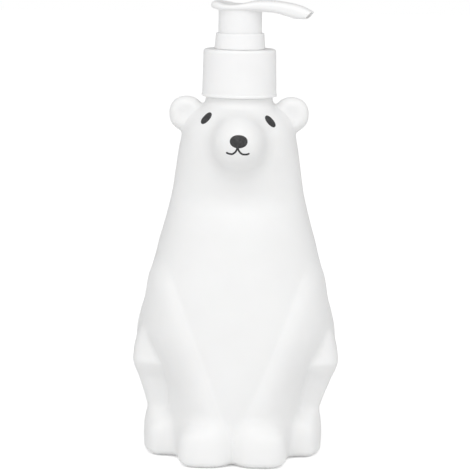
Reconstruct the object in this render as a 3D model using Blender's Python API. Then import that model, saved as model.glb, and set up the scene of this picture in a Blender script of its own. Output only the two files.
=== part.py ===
"""Bear shampoo dispenser: a blow-moulded sitting bear closed by a 28 mm lotion pump.

Run with: blender --background --python part.py
Metres, +Z up. The origin is at the centre of the bottle's footprint, on the surface it stands on.
The bear faces -Y. The pump's axis is the Z axis.

The bottle's skin is one smooth field of blended forms, with the torso, the folded hind legs, the
muzzle, the ears and the four feet each given by its own sizes. Rays from inside the bottle find
the skin, and the same rays find the inner wall one wall thickness below it.
"""
import math

import bmesh
import bpy
import numpy as np
from mathutils import Matrix, Vector

MM = 0.001
DEG = math.pi / 180.0

# Fits and clearances shared by all pieces
SEAT_GAP = 0.3 * MM
SLIDE_GAP = 0.3 * MM
CUT_OVERRUN = 2.0 * MM

# Bottle: overall
BODY_HEIGHT = 158.0 * MM
BODY_HALF_WIDTH = 46.3 * MM
BODY_HALF_DEPTH = 42.0 * MM
WALL = 1.3 * MM
EDGE_RADIUS = 3.2 * MM
CROWN_RADIUS = 14.0 * MM
PUSH_UP = 2.4 * MM
PUSH_UP_HALF_WIDTH = 22.0 * MM
PUSH_UP_HALF_DEPTH = 12.5 * MM
PUSH_UP_SLOPE_SHARE = 0.45

# Torso with the arms: shares of height, half width, and half depth to the front and to the back
TORSO_POWER = 2.2
TORSO_SHARES = (
    (0.000, 0.655, 0.780, 0.620),
    (0.080, 0.655, 0.830, 0.680),
    (0.134, 0.655, 0.870, 0.730),
    (0.190, 0.675, 0.888, 0.780),
    (0.260, 0.775, 0.886, 0.830),
    (0.315, 0.866, 0.877, 0.860),
    (0.365, 0.924, 0.862, 0.888),
    (0.392, 0.923, 0.852, 0.892),
    (0.435, 0.898, 0.836, 0.880),
    (0.478, 0.868, 0.812, 0.864),
    (0.522, 0.834, 0.783, 0.840),
    (0.565, 0.793, 0.752, 0.807),
    (0.608, 0.758, 0.722, 0.774),
    (0.652, 0.715, 0.690, 0.740),
    (0.695, 0.676, 0.642, 0.707),
    (0.738, 0.641, 0.590, 0.676),
    (0.780, 0.618, 0.577, 0.650),
    (0.823, 0.598, 0.590, 0.626),
    (0.866, 0.577, 0.603, 0.602),
    (0.909, 0.551, 0.600, 0.576),
    (0.950, 0.534, 0.575, 0.548),
    (1.000, 0.520, 0.540, 0.520),
)

# Folded hind legs: the same shares, the knee is the widest place of the whole bottle
LEG_POWER = 3.0
LEG_SHARES = (
    (0.000, 0.835, 0.340, 0.905),
    (0.060, 0.850, 0.350, 0.945),
    (0.110, 0.840, 0.310, 0.970),
    (0.160, 0.878, 0.345, 0.990),
    (0.222, 0.944, 0.425, 1.000),
    (0.257, 0.990, 0.520, 0.998),
    (0.272, 0.999, 0.545, 0.992),
    (0.290, 0.995, 0.525, 0.970),
    (0.325, 0.972, 0.505, 0.917),
    (0.352, 0.947, 0.500, 0.855),
    (0.370, 0.925, 0.430, 0.800),
    (0.402, 0.876, 0.200, 0.700),
    (0.445, 0.808, 0.080, 0.550),
)
LEG_CREASE = 1.6 * MM
BACK_BLEND = 12.0 * MM
BACK_BLEND_START = -6.0 * MM
BACK_BLEND_END = 18.0 * MM

# Arms: each swells out of the chest from an edge that runs from the shoulder to the front paw
ARM_EDGE_TOP_HEIGHT = 92.0 * MM
ARM_EDGE_TOP_REACH = 32.4 * MM
ARM_EDGE_LOW_HEIGHT = 20.0 * MM
ARM_EDGE_LOW_REACH = 3.8 * MM
ARM_RISE = 1.7 * MM
ARM_SWELL_WIDTH = 7.0 * MM
ARM_WIDTH = 21.0 * MM
ARM_FADE = 14.0 * MM
ARM_SIDE_FADE = 9.0 * MM

# Rounded forms, each given by its centre and its half sizes along X, Y and Z
FORM_POWER = 2.5
MUZZLE_DROP = 15.6 * MM
MUZZLE_CENTRE = (0.0, -23.5 * MM, BODY_HEIGHT - MUZZLE_DROP)
MUZZLE_HALF_SIZE = (12.0 * MM, 15.3 * MM, 12.2 * MM)
MUZZLE_POWER = 2.05
MUZZLE_BLEND = 5.5 * MM
EAR_DROP = 4.9 * MM
EAR_CENTRE = (23.5 * MM, 1.0 * MM, BODY_HEIGHT - EAR_DROP)
EAR_HALF_SIZE = (7.6 * MM, 4.8 * MM, 7.7 * MM)
EAR_POWER = 2.2
EAR_BLEND = 2.4 * MM
DISH_HALF_SIZE = (5.3 * MM, 2.0 * MM, 5.2 * MM)
DISH_OUTWARD = 0.5 * MM
DISH_DEPTH = 1.5 * MM
DISH_POWER = 2.0
DISH_BLEND = 1.2 * MM
PAW_CENTRE = (12.2 * MM, -29.2 * MM, 7.2 * MM)
PAW_HALF_SIZE = (11.5 * MM, 12.8 * MM, 11.6 * MM)
PAW_BLEND = 6.0 * MM
FOOT_CENTRE = (31.9 * MM, -1.0 * MM, 7.6 * MM)
FOOT_HALF_SIZE = (8.4 * MM, 17.6 * MM, 12.4 * MM)
FOOT_BLEND = 5.5 * MM

# Bottle: neck for a 28 mm closure
NECK_RING_RADIUS = 14.95 * MM
NECK_RING_HEIGHT = 2.9 * MM
NECK_RING_TOP = BODY_HEIGHT + NECK_RING_HEIGHT
NECK_RING_ROUND = 0.6 * MM
NECK_RING_FILLET_DEGREES = (30.0, 60.0, 90.0)
NECK_RADIUS = 12.55 * MM
NECK_BORE_RADIUS = 11.25 * MM
NECK_LENGTH = 14.7 * MM
NECK_TOP = NECK_RING_TOP + NECK_LENGTH
NECK_EDGE = 0.5 * MM

# Bottle: how finely the skin is laid out
COLUMNS = 56
FRONT_CROWDING_SHARE = 0.33
SIDE_CROWDING_SHARE = 0.17
SPREAD_SHARE = 0.7
SPREAD_RADIUS = 42.0 * MM
SPREAD_END_HEIGHT = 105.0 * MM
SPREAD_START_HEIGHT = 22.0 * MM
RAY_STEPS = 70
RAY_STEP_SHARE = 0.6
LEAST_SLOPE_SHARE = 0.5
LEAST_LEVEL = 1e-12
EDGE_CENTRE_HEIGHT = 6.0 * MM
EDGE_INSET = 4.5 * MM
FLAT_INSET = 6.6 * MM
BASE_RING_SHARES = (0.3, 0.55, 0.78, 1.0)
EDGE_FAN_DEGREES = (-90.0, -68.0, -45.0, -22.0)
SIDE_ROW_SHARES = (
    0.045, 0.075, 0.095, 0.105, 0.113, 0.12, 0.129, 0.145, 0.172, 0.205, 0.235, 0.256, 0.272,
    0.3, 0.335, 0.37, 0.41, 0.455, 0.505, 0.56, 0.615, 0.67, 0.715, 0.75, 0.78,
)
HEAD_CENTRE_DROP = 28.0 * MM
HEAD_CENTRE_HEIGHT = BODY_HEIGHT - HEAD_CENTRE_DROP
HEAD_FAN_DEGREES = (-6.0, -1.0, 3.5, 8.5, 14.0, 19.0, 24.0, 29.0, 34.0, 39.0, 44.0, 48.5, 52.5, 56.0)
CROWN_FAN = ((60.0, 0.35), (68.0, 0.65), (78.0, 0.88))
INNER_SIDE_ROW_SHARES = (
    0.075, 0.105, 0.12, 0.142, 0.172, 0.205, 0.235, 0.262,
    0.3, 0.335, 0.37, 0.43, 0.505, 0.6, 0.7, 0.775,
)
INNER_HEAD_FAN_DEGREES = (-1.0, 8.5, 19.0, 29.0, 39.0, 48.5, 56.0)
INNER_CROWN_FAN = ((66.0, 0.4), (90.0, 1.0))
INNER_EDGE_FAN_DEGREES = (-90.0, -45.0)

# Pump: the screw closure
CLOSURE_BOTTOM = NECK_RING_TOP + SEAT_GAP
CLOSURE_LOW_RADIUS = 16.6 * MM
CLOSURE_TOP_RADIUS = 16.2 * MM
CLOSURE_BEAD = 0.25 * MM
CLOSURE_BEAD_HEIGHT = 1.0 * MM
CLOSURE_ROUND = 2.0 * MM
CLOSURE_BORE_RADIUS = 14.3 * MM
CLOSURE_ROOF = 1.6 * MM
CLOSURE_HOLE_RADIUS = 11.1 * MM
CLOSURE_RIB_WIDTH = 1.5 * MM
CLOSURE_RIB_HEIGHT = 1.8 * MM

# Pump: the gasket and the housing that hangs in the neck
GASKET_THICKNESS = 1.0 * MM
GASKET_RADIUS = 13.6 * MM
GASKET_BORE_RADIUS = 9.5 * MM
FLANGE_THICKNESS = 1.3 * MM
FLANGE_RADIUS = 13.6 * MM
SOCKET_RADIUS = 9.1 * MM
SOCKET_BORE_RADIUS = 8.3 * MM
SOCKET_DEPTH = 8.0 * MM
BARREL_RADIUS = 7.6 * MM
BARREL_BORE_RADIUS = 6.6 * MM
BARREL_LENGTH = 38.0 * MM
BARREL_CONE = 4.0 * MM
CHAMBER_RADIUS = 4.6 * MM
CHAMBER_BORE_RADIUS = 3.0 * MM
CHAMBER_LENGTH = 7.0 * MM
CAGE_LIP_RADIUS = 2.3 * MM
CAGE_LIP_HEIGHT = 1.0 * MM
VALVE_SEAT_RADIUS = 1.6 * MM
VALVE_SEAT_HEIGHT = 1.6 * MM
TUBE_SOCKET_LENGTH = 10.0 * MM

# Pump: the dip tube
TUBE_RADIUS = 3.0 * MM
TUBE_BORE_RADIUS = 2.1 * MM
TUBE_PRESS = 0.1 * MM
TUBE_FLOOR_GAP = 4.0 * MM
TUBE_CUT_DEGREES = 40.0

# Pump: the locking collar that traps the closure
COLLAR_HEIGHT = 6.8 * MM
COLLAR_LOW_RADIUS = 11.35 * MM
COLLAR_TOP_RADIUS = 10.75 * MM
COLLAR_BORE_RADIUS = 9.95 * MM
COLLAR_CUP_RADIUS = 10.8 * MM
COLLAR_FLOOR = 1.1 * MM
COLLAR_CHAMFER = 0.4 * MM
PLUG_WALL = 1.1 * MM
PLUG_LENGTH = 7.6 * MM
PLUG_FLOOR = 1.3 * MM

# Pump: piston, stem and balls
PISTON_LENGTH = 6.0 * MM
PISTON_WAIST = 1.0 * MM
PISTON_LIP = 1.4 * MM
STEM_RADIUS = 3.4 * MM
STEM_BORE_RADIUS = 1.7 * MM
STEM_FLANGE_RADIUS = 5.6 * MM
STEM_FLANGE_THICKNESS = 1.2 * MM
STEM_TOP_DROP = 3.3 * MM
STEM_CUP_RADIUS = 2.6 * MM
STEM_CUP_DEPTH = 6.0 * MM
STEM_SEAT_HEIGHT = 0.9 * MM
INLET_BALL_RADIUS = 2.5 * MM
OUTLET_BALL_RADIUS = 2.2 * MM
BALL_GAP = 0.12 * MM

# Pump: the return spring
SPRING_MEAN_RADIUS = 4.75 * MM
SPRING_WIRE_RADIUS = 0.5 * MM
SPRING_TURNS = 7
SPRING_POINTS_PER_TURN = 9

# Pump: the head with its thumb rest, skirt and spout
PRESS_TRAVEL = 8.3 * MM
PRESS_STOP_GAP = 1.4 * MM
HEAD_THICKNESS = 5.3 * MM
HEAD_REACH = 34.5 * MM
HEAD_HALF_WIDTH = 10.9 * MM
HEAD_TURN_DEGREES = -17.0
SKIRT_RADIUS = 9.7 * MM
SKIRT_WALL = 1.0 * MM
SKIRT_ENGAGED = 0.7 * MM
HEAD_ROOF = 0.9 * MM
STEM_SOCKET_RADIUS = 5.0 * MM
STEM_SOCKET_LENGTH = 17.0 * MM
STEM_GRIP = 0.05 * MM
STEM_HEAD_GAP = 0.7 * MM
CHANNEL_RADIUS = 1.5 * MM
CHANNEL_RISE = 1.0 * MM
ELBOW_DEGREES = (30.0, 60.0, 90.0)
MOUTH_HALF_WIDTH = 2.9 * MM
MOUTH_HALF_HEIGHT = 1.35 * MM
REST_DISH_DEPTH = 0.8 * MM
REST_DISH_START = (-11.0 * MM, -7.0 * MM)
REST_DISH_END = (1.0 * MM, 10.0 * MM)
HEAD_POWER = 2.7
HEAD_SECTION_POINTS = 24
# Along the head: reach and rise of the upper rail, reach and rise of the lower rail, half width
HEAD_RAIL_SHARES = (
    (-0.365, 0.500, -0.365, 0.350, 0.240),
    (-0.350, 0.760, -0.352, 0.190, 0.460),
    (-0.303, 0.880, -0.303, 0.060, 0.670),
    (-0.220, 0.830, -0.230, 0.000, 0.850),
    (-0.135, 0.710, -0.140, 0.000, 0.955),
    (-0.033, 0.680, -0.030, 0.000, 1.000),
    (0.090, 0.780, 0.090, 0.000, 0.965),
    (0.210, 0.925, 0.205, 0.000, 0.850),
    (0.330, 1.000, 0.312, -0.020, 0.680),
    (0.455, 0.985, 0.430, -0.060, 0.540),
    (0.608, 0.890, 0.550, -0.180, 0.455),
    (0.760, 0.620, 0.668, -0.370, 0.410),
    (0.893, 0.290, 0.790, -0.570, 0.375),
    (1.000, 0.000, 0.926, -0.590, 0.345),
)

# Heights of the pump, each from the one below it
FLANGE_TOP = NECK_TOP + SEAT_GAP + GASKET_THICKNESS + SEAT_GAP + FLANGE_THICKNESS
CLOSURE_TOP = FLANGE_TOP + SEAT_GAP + CLOSURE_RIB_HEIGHT + CLOSURE_ROOF
COLLAR_TOP = CLOSURE_TOP + SEAT_GAP + COLLAR_HEIGHT
HEAD_UNDERSIDE = COLLAR_TOP + PRESS_STOP_GAP + PRESS_TRAVEL

# Roundness of the turned pieces
CLOSURE_SIDES = 36
COLLAR_SIDES = 32
INNER_SIDES = 24
BALL_SIDES = 12
FILLET_POINTS = 4
SHARP_DEGREES = 35.0

# Colours: red, green, blue
WHITE_BOTTLE = (0.91, 0.91, 0.905)
WHITE_PUMP = (0.93, 0.93, 0.93)
NATURAL_PLASTIC = (0.86, 0.87, 0.86)
SEAL_GREY = (0.62, 0.63, 0.64)
STEEL = (0.62, 0.62, 0.63)


def plastic(name, colour, roughness, metallic=0.0):
    """Return a Principled material of one colour."""
    material = bpy.data.materials.new(name)
    material.use_nodes = True
    shader = material.node_tree.nodes["Principled BSDF"]
    shader.inputs["Base Color"].default_value = (*colour, 1.0)
    shader.inputs["Roughness"].default_value = roughness
    shader.inputs["Metallic"].default_value = metallic
    material.diffuse_color = (*colour, 1.0)
    return material


def add_object(name, mesh, material, parent=None):
    """Put a mesh into the scene as one named node."""
    piece = bpy.data.objects.new(name, mesh)
    bpy.context.scene.collection.objects.link(piece)
    piece.data.materials.append(material)
    piece.data.shade_smooth()
    piece.data.set_sharp_from_angle(angle=SHARP_DEGREES * DEG)
    if parent is not None:
        piece.parent = parent
        piece.matrix_parent_inverse = Matrix.Translation(-parent.location)
    return piece


def add_axis(name, height, parent=None):
    """Return an empty on the pump's axis, for the pieces that move with one joint."""
    axis = bpy.data.objects.new(name, None)
    bpy.context.scene.collection.objects.link(axis)
    axis.location = (0.0, 0.0, height)
    if parent is not None:
        axis.parent = parent
        axis.matrix_parent_inverse = Matrix.Translation(-parent.location)
    return axis


def skin_rings(name, rings, low_pole=None, high_pole=None, looped=False):
    """Join rings of equal length into a closed mesh whose faces point out."""
    count = len(rings[0])
    points = [tuple(point) for ring in rings for point in ring]
    faces = []
    pairs = len(rings) if looped else len(rings) - 1
    for row in range(pairs):
        here = row * count
        there = ((row + 1) % len(rings)) * count
        for side in range(count):
            nxt = (side + 1) % count
            faces.append((here + side, here + nxt, there + nxt, there + side))
    if low_pole is not None:
        points.append(tuple(low_pole))
        pole = len(points) - 1
        faces += [((side + 1) % count, side, pole) for side in range(count)]
    if high_pole is not None:
        points.append(tuple(high_pole))
        pole = len(points) - 1
        last = (len(rings) - 1) * count
        faces += [(last + side, last + (side + 1) % count, pole) for side in range(count)]
    mesh = bpy.data.meshes.new(name)
    mesh.from_pydata(points, [], faces)
    shell = bmesh.new()
    shell.from_mesh(mesh)
    bmesh.ops.recalc_face_normals(shell, faces=shell.faces)
    shell.to_mesh(mesh)
    shell.free()
    return mesh


def fillet(centre_radius, centre_height, size, start_degrees, end_degrees):
    """Return the points of a round edge in the radius and height plane."""
    turn = (end_degrees - start_degrees) / (FILLET_POINTS - 1)
    angles = [(start_degrees + step * turn) * DEG for step in range(FILLET_POINTS)]
    return [(centre_radius + size * math.cos(a), centre_height + size * math.sin(a)) for a in angles]


def turned(name, outline, sides):
    """Turn an outline of radius and height pairs about the Z axis into a closed mesh.

    An outline that starts and ends on the axis makes a solid with poles, any other is a ring.
    """
    on_axis = outline[0][0] == 0.0
    middle = outline[1:-1] if on_axis else outline
    steps = [2.0 * math.pi * side / sides for side in range(sides)]
    rings = [[(r * math.cos(a), r * math.sin(a), z) for a in steps] for r, z in middle]
    if on_axis:
        return skin_rings(name, rings, (0.0, 0.0, outline[0][1]), (0.0, 0.0, outline[-1][1]))
    return skin_rings(name, rings, looped=True)


def follow(knots, values, query):
    """Return a smooth curve through the knots that never overshoots them."""
    gaps = np.diff(knots)
    rises = np.diff(values) / gaps
    before, after = rises[:-1], rises[1:]
    same = before * after > 0.0
    safe_before = np.where(same, before, 1.0)
    safe_after = np.where(same, after, 1.0)
    inner = np.where(same, 2.0 * safe_before * safe_after / (safe_before + safe_after), 0.0)
    slopes = np.concatenate(([rises[0]], inner, [rises[-1]]))
    query = np.clip(query, knots[0], knots[-1])
    spot = np.clip(np.searchsorted(knots, query) - 1, 0, len(gaps) - 1)
    step = (query - knots[spot]) / gaps[spot]
    square, cube = step ** 2, step ** 3
    return (values[spot] * (2.0 * cube - 3.0 * square + 1.0)
            + values[spot + 1] * (3.0 * square - 2.0 * cube)
            + slopes[spot] * gaps[spot] * (cube - 2.0 * square + step)
            + slopes[spot + 1] * gaps[spot] * (cube - square))


def ease(low, high, value):
    """Return zero below low, one above high, and a smooth step between them."""
    share = np.clip((value - low) / (high - low), 0.0, 1.0)
    return share * share * (3.0 - 2.0 * share)


def blend_union(first, second, width):
    """Return the union of two fields with a fillet of about the given width."""
    share = np.clip(0.5 + 0.5 * (second - first) / width, 0.0, 1.0)
    return second + (first - second) * share - width * share * (1.0 - share)


def round_meeting(first, second, radius):
    """Return the space inside both fields, with the edge between them rounded."""
    outside = np.hypot(np.maximum(first + radius, 0.0), np.maximum(second + radius, 0.0))
    return outside + np.minimum(np.maximum(first, second) + radius, 0.0) - radius


def section_stack(shares, power, x, y, z):
    """Return the distance to a stack of oval sections that follows the given shares."""
    table = np.array(shares)
    heights = table[:, 0] * BODY_HEIGHT
    half_width = follow(heights, table[:, 1] * BODY_HALF_WIDTH, z)
    front = follow(heights, table[:, 2] * BODY_HALF_DEPTH, z)
    back = follow(heights, table[:, 3] * BODY_HALF_DEPTH, z)
    half_depth = np.where(y < 0.0, front, back)
    return oval_distance((x, y), (half_width, half_depth), power)


def oval_distance(offsets, half_sizes, power):
    """Return the distance to an oval or rounded form, to first order, from its half sizes."""
    parts = [np.abs(offset / half) for offset, half in zip(offsets, half_sizes)]
    level = np.maximum(sum(part ** power for part in parts), LEAST_LEVEL) ** (1.0 / power)
    slopes = [(part / level) ** (power - 1.0) / half for part, half in zip(parts, half_sizes)]
    slope = np.sqrt(sum(value ** 2 for value in slopes))
    least = LEAST_SLOPE_SHARE / np.maximum(half_sizes[0], half_sizes[1])
    return (level - 1.0) / np.maximum(slope, least)


def form(centre, half_size, power, x, y, z):
    """Return the distance to a rounded form that stands on both sides of the bear."""
    offsets = (x - centre[0], y - centre[1], z - centre[2])
    return oval_distance(offsets, half_size, power)


def arm_relief(x, y, z):
    """Return how far the arms stand out of the chest at each place."""
    run = ARM_EDGE_TOP_REACH - ARM_EDGE_LOW_REACH
    rise = ARM_EDGE_TOP_HEIGHT - ARM_EDGE_LOW_HEIGHT
    edge = ARM_EDGE_LOW_REACH + run * (z - ARM_EDGE_LOW_HEIGHT) / rise
    outward = (x - edge) * rise / math.hypot(run, rise)
    swell = 1.0 - (1.0 - np.clip(outward / ARM_SWELL_WIDTH, 0.0, 1.0)) ** 2
    slope = 1.0 - ease(ARM_SWELL_WIDTH, ARM_WIDTH, outward)
    top = ease(0.0, ARM_FADE, ARM_EDGE_TOP_HEIGHT - z)
    front = ease(0.0, ARM_SIDE_FADE, -y)
    return ARM_RISE * swell * slope * top * front


def skin(x, y, z):
    """Return the distance to the bottle's skin above the floor, negative inside."""
    x = np.abs(x)
    torso = section_stack(TORSO_SHARES, TORSO_POWER, x, y, z) - arm_relief(x, y, z)
    legs = section_stack(LEG_SHARES, LEG_POWER, x, y, z)
    legs = np.maximum(legs, z - LEG_SHARES[-1][0] * BODY_HEIGHT)
    crease = LEG_CREASE + (BACK_BLEND - LEG_CREASE) * ease(BACK_BLEND_START, BACK_BLEND_END, y)
    body = blend_union(torso, legs, crease)
    body = blend_union(body, form(FOOT_CENTRE, FOOT_HALF_SIZE, FORM_POWER, x, y, z), FOOT_BLEND)
    body = blend_union(body, form(PAW_CENTRE, PAW_HALF_SIZE, FORM_POWER, x, y, z), PAW_BLEND)
    body = round_meeting(body, z - BODY_HEIGHT, CROWN_RADIUS)
    muzzle = form(MUZZLE_CENTRE, MUZZLE_HALF_SIZE, MUZZLE_POWER, x, y, z)
    body = blend_union(body, muzzle, MUZZLE_BLEND)
    ear = form(EAR_CENTRE, EAR_HALF_SIZE, EAR_POWER, x, y, z)
    dish_centre = (
        EAR_CENTRE[0] + DISH_OUTWARD,
        EAR_CENTRE[1] - EAR_HALF_SIZE[1] - DISH_HALF_SIZE[1] + DISH_DEPTH,
        EAR_CENTRE[2],
    )
    dish = form(dish_centre, DISH_HALF_SIZE, DISH_POWER, x, y, z)
    ear = -blend_union(-ear, dish, DISH_BLEND)
    return blend_union(body, ear, EAR_BLEND)


def floor_height(x, y):
    """Return how high the pushed-up middle of the base lies above what the bottle stands on."""
    inward = 1.0 - np.hypot(x / PUSH_UP_HALF_WIDTH, y / PUSH_UP_HALF_DEPTH)
    return PUSH_UP * ease(0.0, PUSH_UP_SLOPE_SHARE, inward)


def bottle_field(x, y, z):
    """Return the distance to the whole bottle's outside, negative inside."""
    return round_meeting(skin(x, y, z), floor_height(x, y) - z, EDGE_RADIUS)


def directions(turn, spread):
    """Return where the level rays start and which way they point, in plan.

    With no spread all start on the axis. With spread they start along a line across the body
    and run more nearly forwards and back, so that they meet the feet head on.
    """
    start = spread * SPREAD_RADIUS * np.sin(turn)
    toward = np.stack([(1.0 - spread) * np.sin(turn), -np.cos(turn)])
    return np.stack([start, np.zeros_like(start)]), toward / np.linalg.norm(toward, axis=0)


def cast(start, height, degrees, toward, depth):
    """Find where rays from inside meet the skin, or the wall that lies depth below it."""
    rise = math.sin(degrees * DEG)
    run = math.cos(degrees * DEG)
    travel = np.zeros_like(toward[0])
    for _ in range(RAY_STEPS):
        x = start[0] + toward[0] * travel * run
        y = start[1] + toward[1] * travel * run
        z = height + travel * rise
        travel = travel - RAY_STEP_SHARE * (bottle_field(x, y, z) + depth)
    return np.stack([x, y, z], axis=-1)


def wall_rings(turn, depth, fan, sides, head, crown, neck_reach):
    """Return the rings of one side of the wall, from the middle of the base up to the neck."""
    low = EDGE_CENTRE_HEIGHT
    start, toward = directions(turn, SPREAD_SHARE)
    footprint = cast(start, low, 0.0, toward, depth)[:, :2].T
    edge = footprint - toward * (EDGE_INSET - depth)
    flat = footprint - toward * (FLAT_INSET - depth)
    oval = np.stack([PUSH_UP_HALF_WIDTH * np.sin(turn), -PUSH_UP_HALF_DEPTH * np.cos(turn)])
    places = [oval * share for share in BASE_RING_SHARES] + [flat]
    rings = [cast(place, low, -90.0, toward, depth) for place in places]
    rings += [cast(edge, low, degrees, toward, depth) for degrees in fan]
    for share in sides:
        height = share * BODY_HEIGHT
        spread = SPREAD_SHARE * (1.0 - ease(SPREAD_START_HEIGHT, SPREAD_END_HEIGHT, height))
        start, toward = directions(turn, spread)
        rings.append(cast(start, height, 0.0, toward, depth))
    start, toward = directions(turn, 0.0)
    rings += [cast(start, HEAD_CENTRE_HEIGHT, degrees, toward, depth) for degrees in head]
    rise = BODY_HEIGHT - CROWN_RADIUS - HEAD_CENTRE_HEIGHT
    for degrees, share in crown:
        place = neck_reach * share * toward
        rings.append(cast(place, HEAD_CENTRE_HEIGHT + rise * share, degrees, toward, depth))
    return rings


def make_bottle(material):
    """Build the bear as one hollow shell, open at the neck."""
    even = 2.0 * math.pi * np.arange(COLUMNS) / COLUMNS
    turn = even - FRONT_CROWDING_SHARE * np.sin(even) + SIDE_CROWDING_SHARE * np.sin(2.0 * even)
    outer = wall_rings(
        turn, 0.0, EDGE_FAN_DEGREES, SIDE_ROW_SHARES, HEAD_FAN_DEGREES, CROWN_FAN,
        NECK_RING_RADIUS)
    outer += [ring_fillet(turn, outer[-1], degrees) for degrees in NECK_RING_FILLET_DEGREES]
    inner = wall_rings(
        turn, WALL, INNER_EDGE_FAN_DEGREES, INNER_SIDE_ROW_SHARES, INNER_HEAD_FAN_DEGREES,
        INNER_CROWN_FAN, NECK_BORE_RADIUS)
    ring_round = NECK_RING_TOP - NECK_RING_ROUND
    outline = [
        (NECK_RING_RADIUS, ring_round),
        (NECK_RING_RADIUS - NECK_RING_ROUND, NECK_RING_TOP),
        (NECK_RADIUS, NECK_RING_TOP),
        (NECK_RADIUS, NECK_TOP - NECK_EDGE),
        (NECK_RADIUS - NECK_EDGE, NECK_TOP),
        (NECK_BORE_RADIUS, NECK_TOP),
    ]
    neck = [np.stack([r * np.sin(turn), -r * np.cos(turn), np.full_like(turn, z)], axis=-1)
            for r, z in outline]
    rings = outer + neck + inner[::-1]
    low = base_middle_height(0.0)
    high = base_middle_height(WALL)
    mesh = skin_rings("bottle", [ring.tolist() for ring in rings], (0.0, 0.0, low), (0.0, 0.0, high))
    return add_object("bottle", mesh, material)


def ring_fillet(turn, crown, degrees):
    """Return one ring of the fillet that runs from the crown's last ring up into the neck ring."""
    angle = degrees * DEG
    size = np.hypot(crown[:, 0], crown[:, 1]) - NECK_RING_RADIUS
    radius = NECK_RING_RADIUS + size * (1.0 - math.sin(angle))
    height = crown[:, 2] + size * (1.0 - math.cos(angle))
    return np.stack([radius * np.sin(turn), -radius * np.cos(turn), height], axis=-1)


def base_middle_height(depth):
    """Return the height of the middle of the base, on the skin or on the wall above it."""
    middle = np.zeros((2, 1))
    return float(cast(middle, EDGE_CENTRE_HEIGHT, -90.0, middle, depth)[0, 2])


def collar_floor_top():
    """Return the height of the floor inside the locking collar."""
    return FLANGE_TOP + SEAT_GAP + COLLAR_FLOOR


def make_closure(material, parent):
    """Build the screw closure: a smooth wall, a roof with a hole and a rib that presses the flange."""
    roof = CLOSURE_TOP - CLOSURE_ROOF
    rib_end = FLANGE_TOP + SEAT_GAP
    bead = CLOSURE_LOW_RADIUS + CLOSURE_BEAD
    outline = [
        (CLOSURE_BORE_RADIUS, CLOSURE_BOTTOM),
        (bead, CLOSURE_BOTTOM),
        (bead, CLOSURE_BOTTOM + CLOSURE_BEAD_HEIGHT),
        (CLOSURE_LOW_RADIUS, CLOSURE_BOTTOM + CLOSURE_BEAD_HEIGHT + CLOSURE_BEAD),
    ]
    outline += fillet(
        CLOSURE_TOP_RADIUS - CLOSURE_ROUND, CLOSURE_TOP - CLOSURE_ROUND, CLOSURE_ROUND, 0.0, 90.0)
    outline += [
        (CLOSURE_HOLE_RADIUS, CLOSURE_TOP),
        (CLOSURE_HOLE_RADIUS, rib_end),
        (CLOSURE_HOLE_RADIUS + CLOSURE_RIB_WIDTH, rib_end),
        (CLOSURE_HOLE_RADIUS + CLOSURE_RIB_WIDTH, roof),
        (CLOSURE_BORE_RADIUS, roof),
    ]
    return add_object("closure", turned("closure", outline, CLOSURE_SIDES), material, parent)


def make_gasket(material, parent):
    """Build the flat washer between the bottle's rim and the flange."""
    low = NECK_TOP + SEAT_GAP
    high = low + GASKET_THICKNESS
    outline = [
        (GASKET_BORE_RADIUS, low),
        (GASKET_RADIUS, low),
        (GASKET_RADIUS, high),
        (GASKET_BORE_RADIUS, high),
    ]
    return add_object("gasket", turned("gasket", outline, COLLAR_SIDES), material, parent)


def housing_levels():
    """Return the heights of the housing's steps, from the flange down to the tube socket."""
    top = FLANGE_TOP
    barrel_top = top - SOCKET_DEPTH
    barrel_end = top - BARREL_LENGTH
    chamber_top = barrel_end - BARREL_CONE
    chamber_end = chamber_top - CHAMBER_LENGTH
    seat = chamber_end - VALVE_SEAT_HEIGHT
    return top, barrel_top, barrel_end, chamber_top, chamber_end, seat


def make_housing(material, parent):
    """Build the housing: flange, barrel, ball chamber with its cage lip and seat, tube socket."""
    top, barrel_top, barrel_end, chamber_top, chamber_end, seat = housing_levels()
    step = SOCKET_RADIUS - BARREL_RADIUS
    tube_bore = TUBE_RADIUS + TUBE_PRESS
    socket_end = seat - TUBE_SOCKET_LENGTH
    lip = chamber_top - CAGE_LIP_HEIGHT
    lip_slope = CHAMBER_BORE_RADIUS - CAGE_LIP_RADIUS
    outline = [
        (SOCKET_BORE_RADIUS, top),
        (SOCKET_BORE_RADIUS, barrel_top),
        (BARREL_BORE_RADIUS, barrel_top - step),
        (BARREL_BORE_RADIUS, barrel_end),
        (SPRING_MEAN_RADIUS - SPRING_WIRE_RADIUS - SLIDE_GAP, barrel_end),
        (CAGE_LIP_RADIUS, chamber_top),
        (CAGE_LIP_RADIUS, lip),
        (CHAMBER_BORE_RADIUS, lip - lip_slope),
        (CHAMBER_BORE_RADIUS, chamber_end),
        (VALVE_SEAT_RADIUS, seat),
        (tube_bore, seat),
        (tube_bore, socket_end),
        (CHAMBER_RADIUS, socket_end),
        (CHAMBER_RADIUS, chamber_top),
        (BARREL_RADIUS, barrel_end),
        (BARREL_RADIUS, barrel_top - step),
        (SOCKET_RADIUS, barrel_top),
        (SOCKET_RADIUS, top - FLANGE_THICKNESS),
        (FLANGE_RADIUS, top - FLANGE_THICKNESS),
        (FLANGE_RADIUS, top),
    ]
    housing = add_object("pump_housing", turned("pump_housing", outline, INNER_SIDES), material, parent)
    return housing


def slanted_ring(radius, height, slant):
    """Return a ring of the dip tube, level or rising across the tube."""
    steps = [2.0 * math.pi * side / INNER_SIDES for side in range(INNER_SIDES)]
    level = [(radius * math.cos(a), radius * math.sin(a)) for a in steps]
    return [(x, y, height + slant * (x + TUBE_RADIUS)) for x, y in level]


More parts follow.
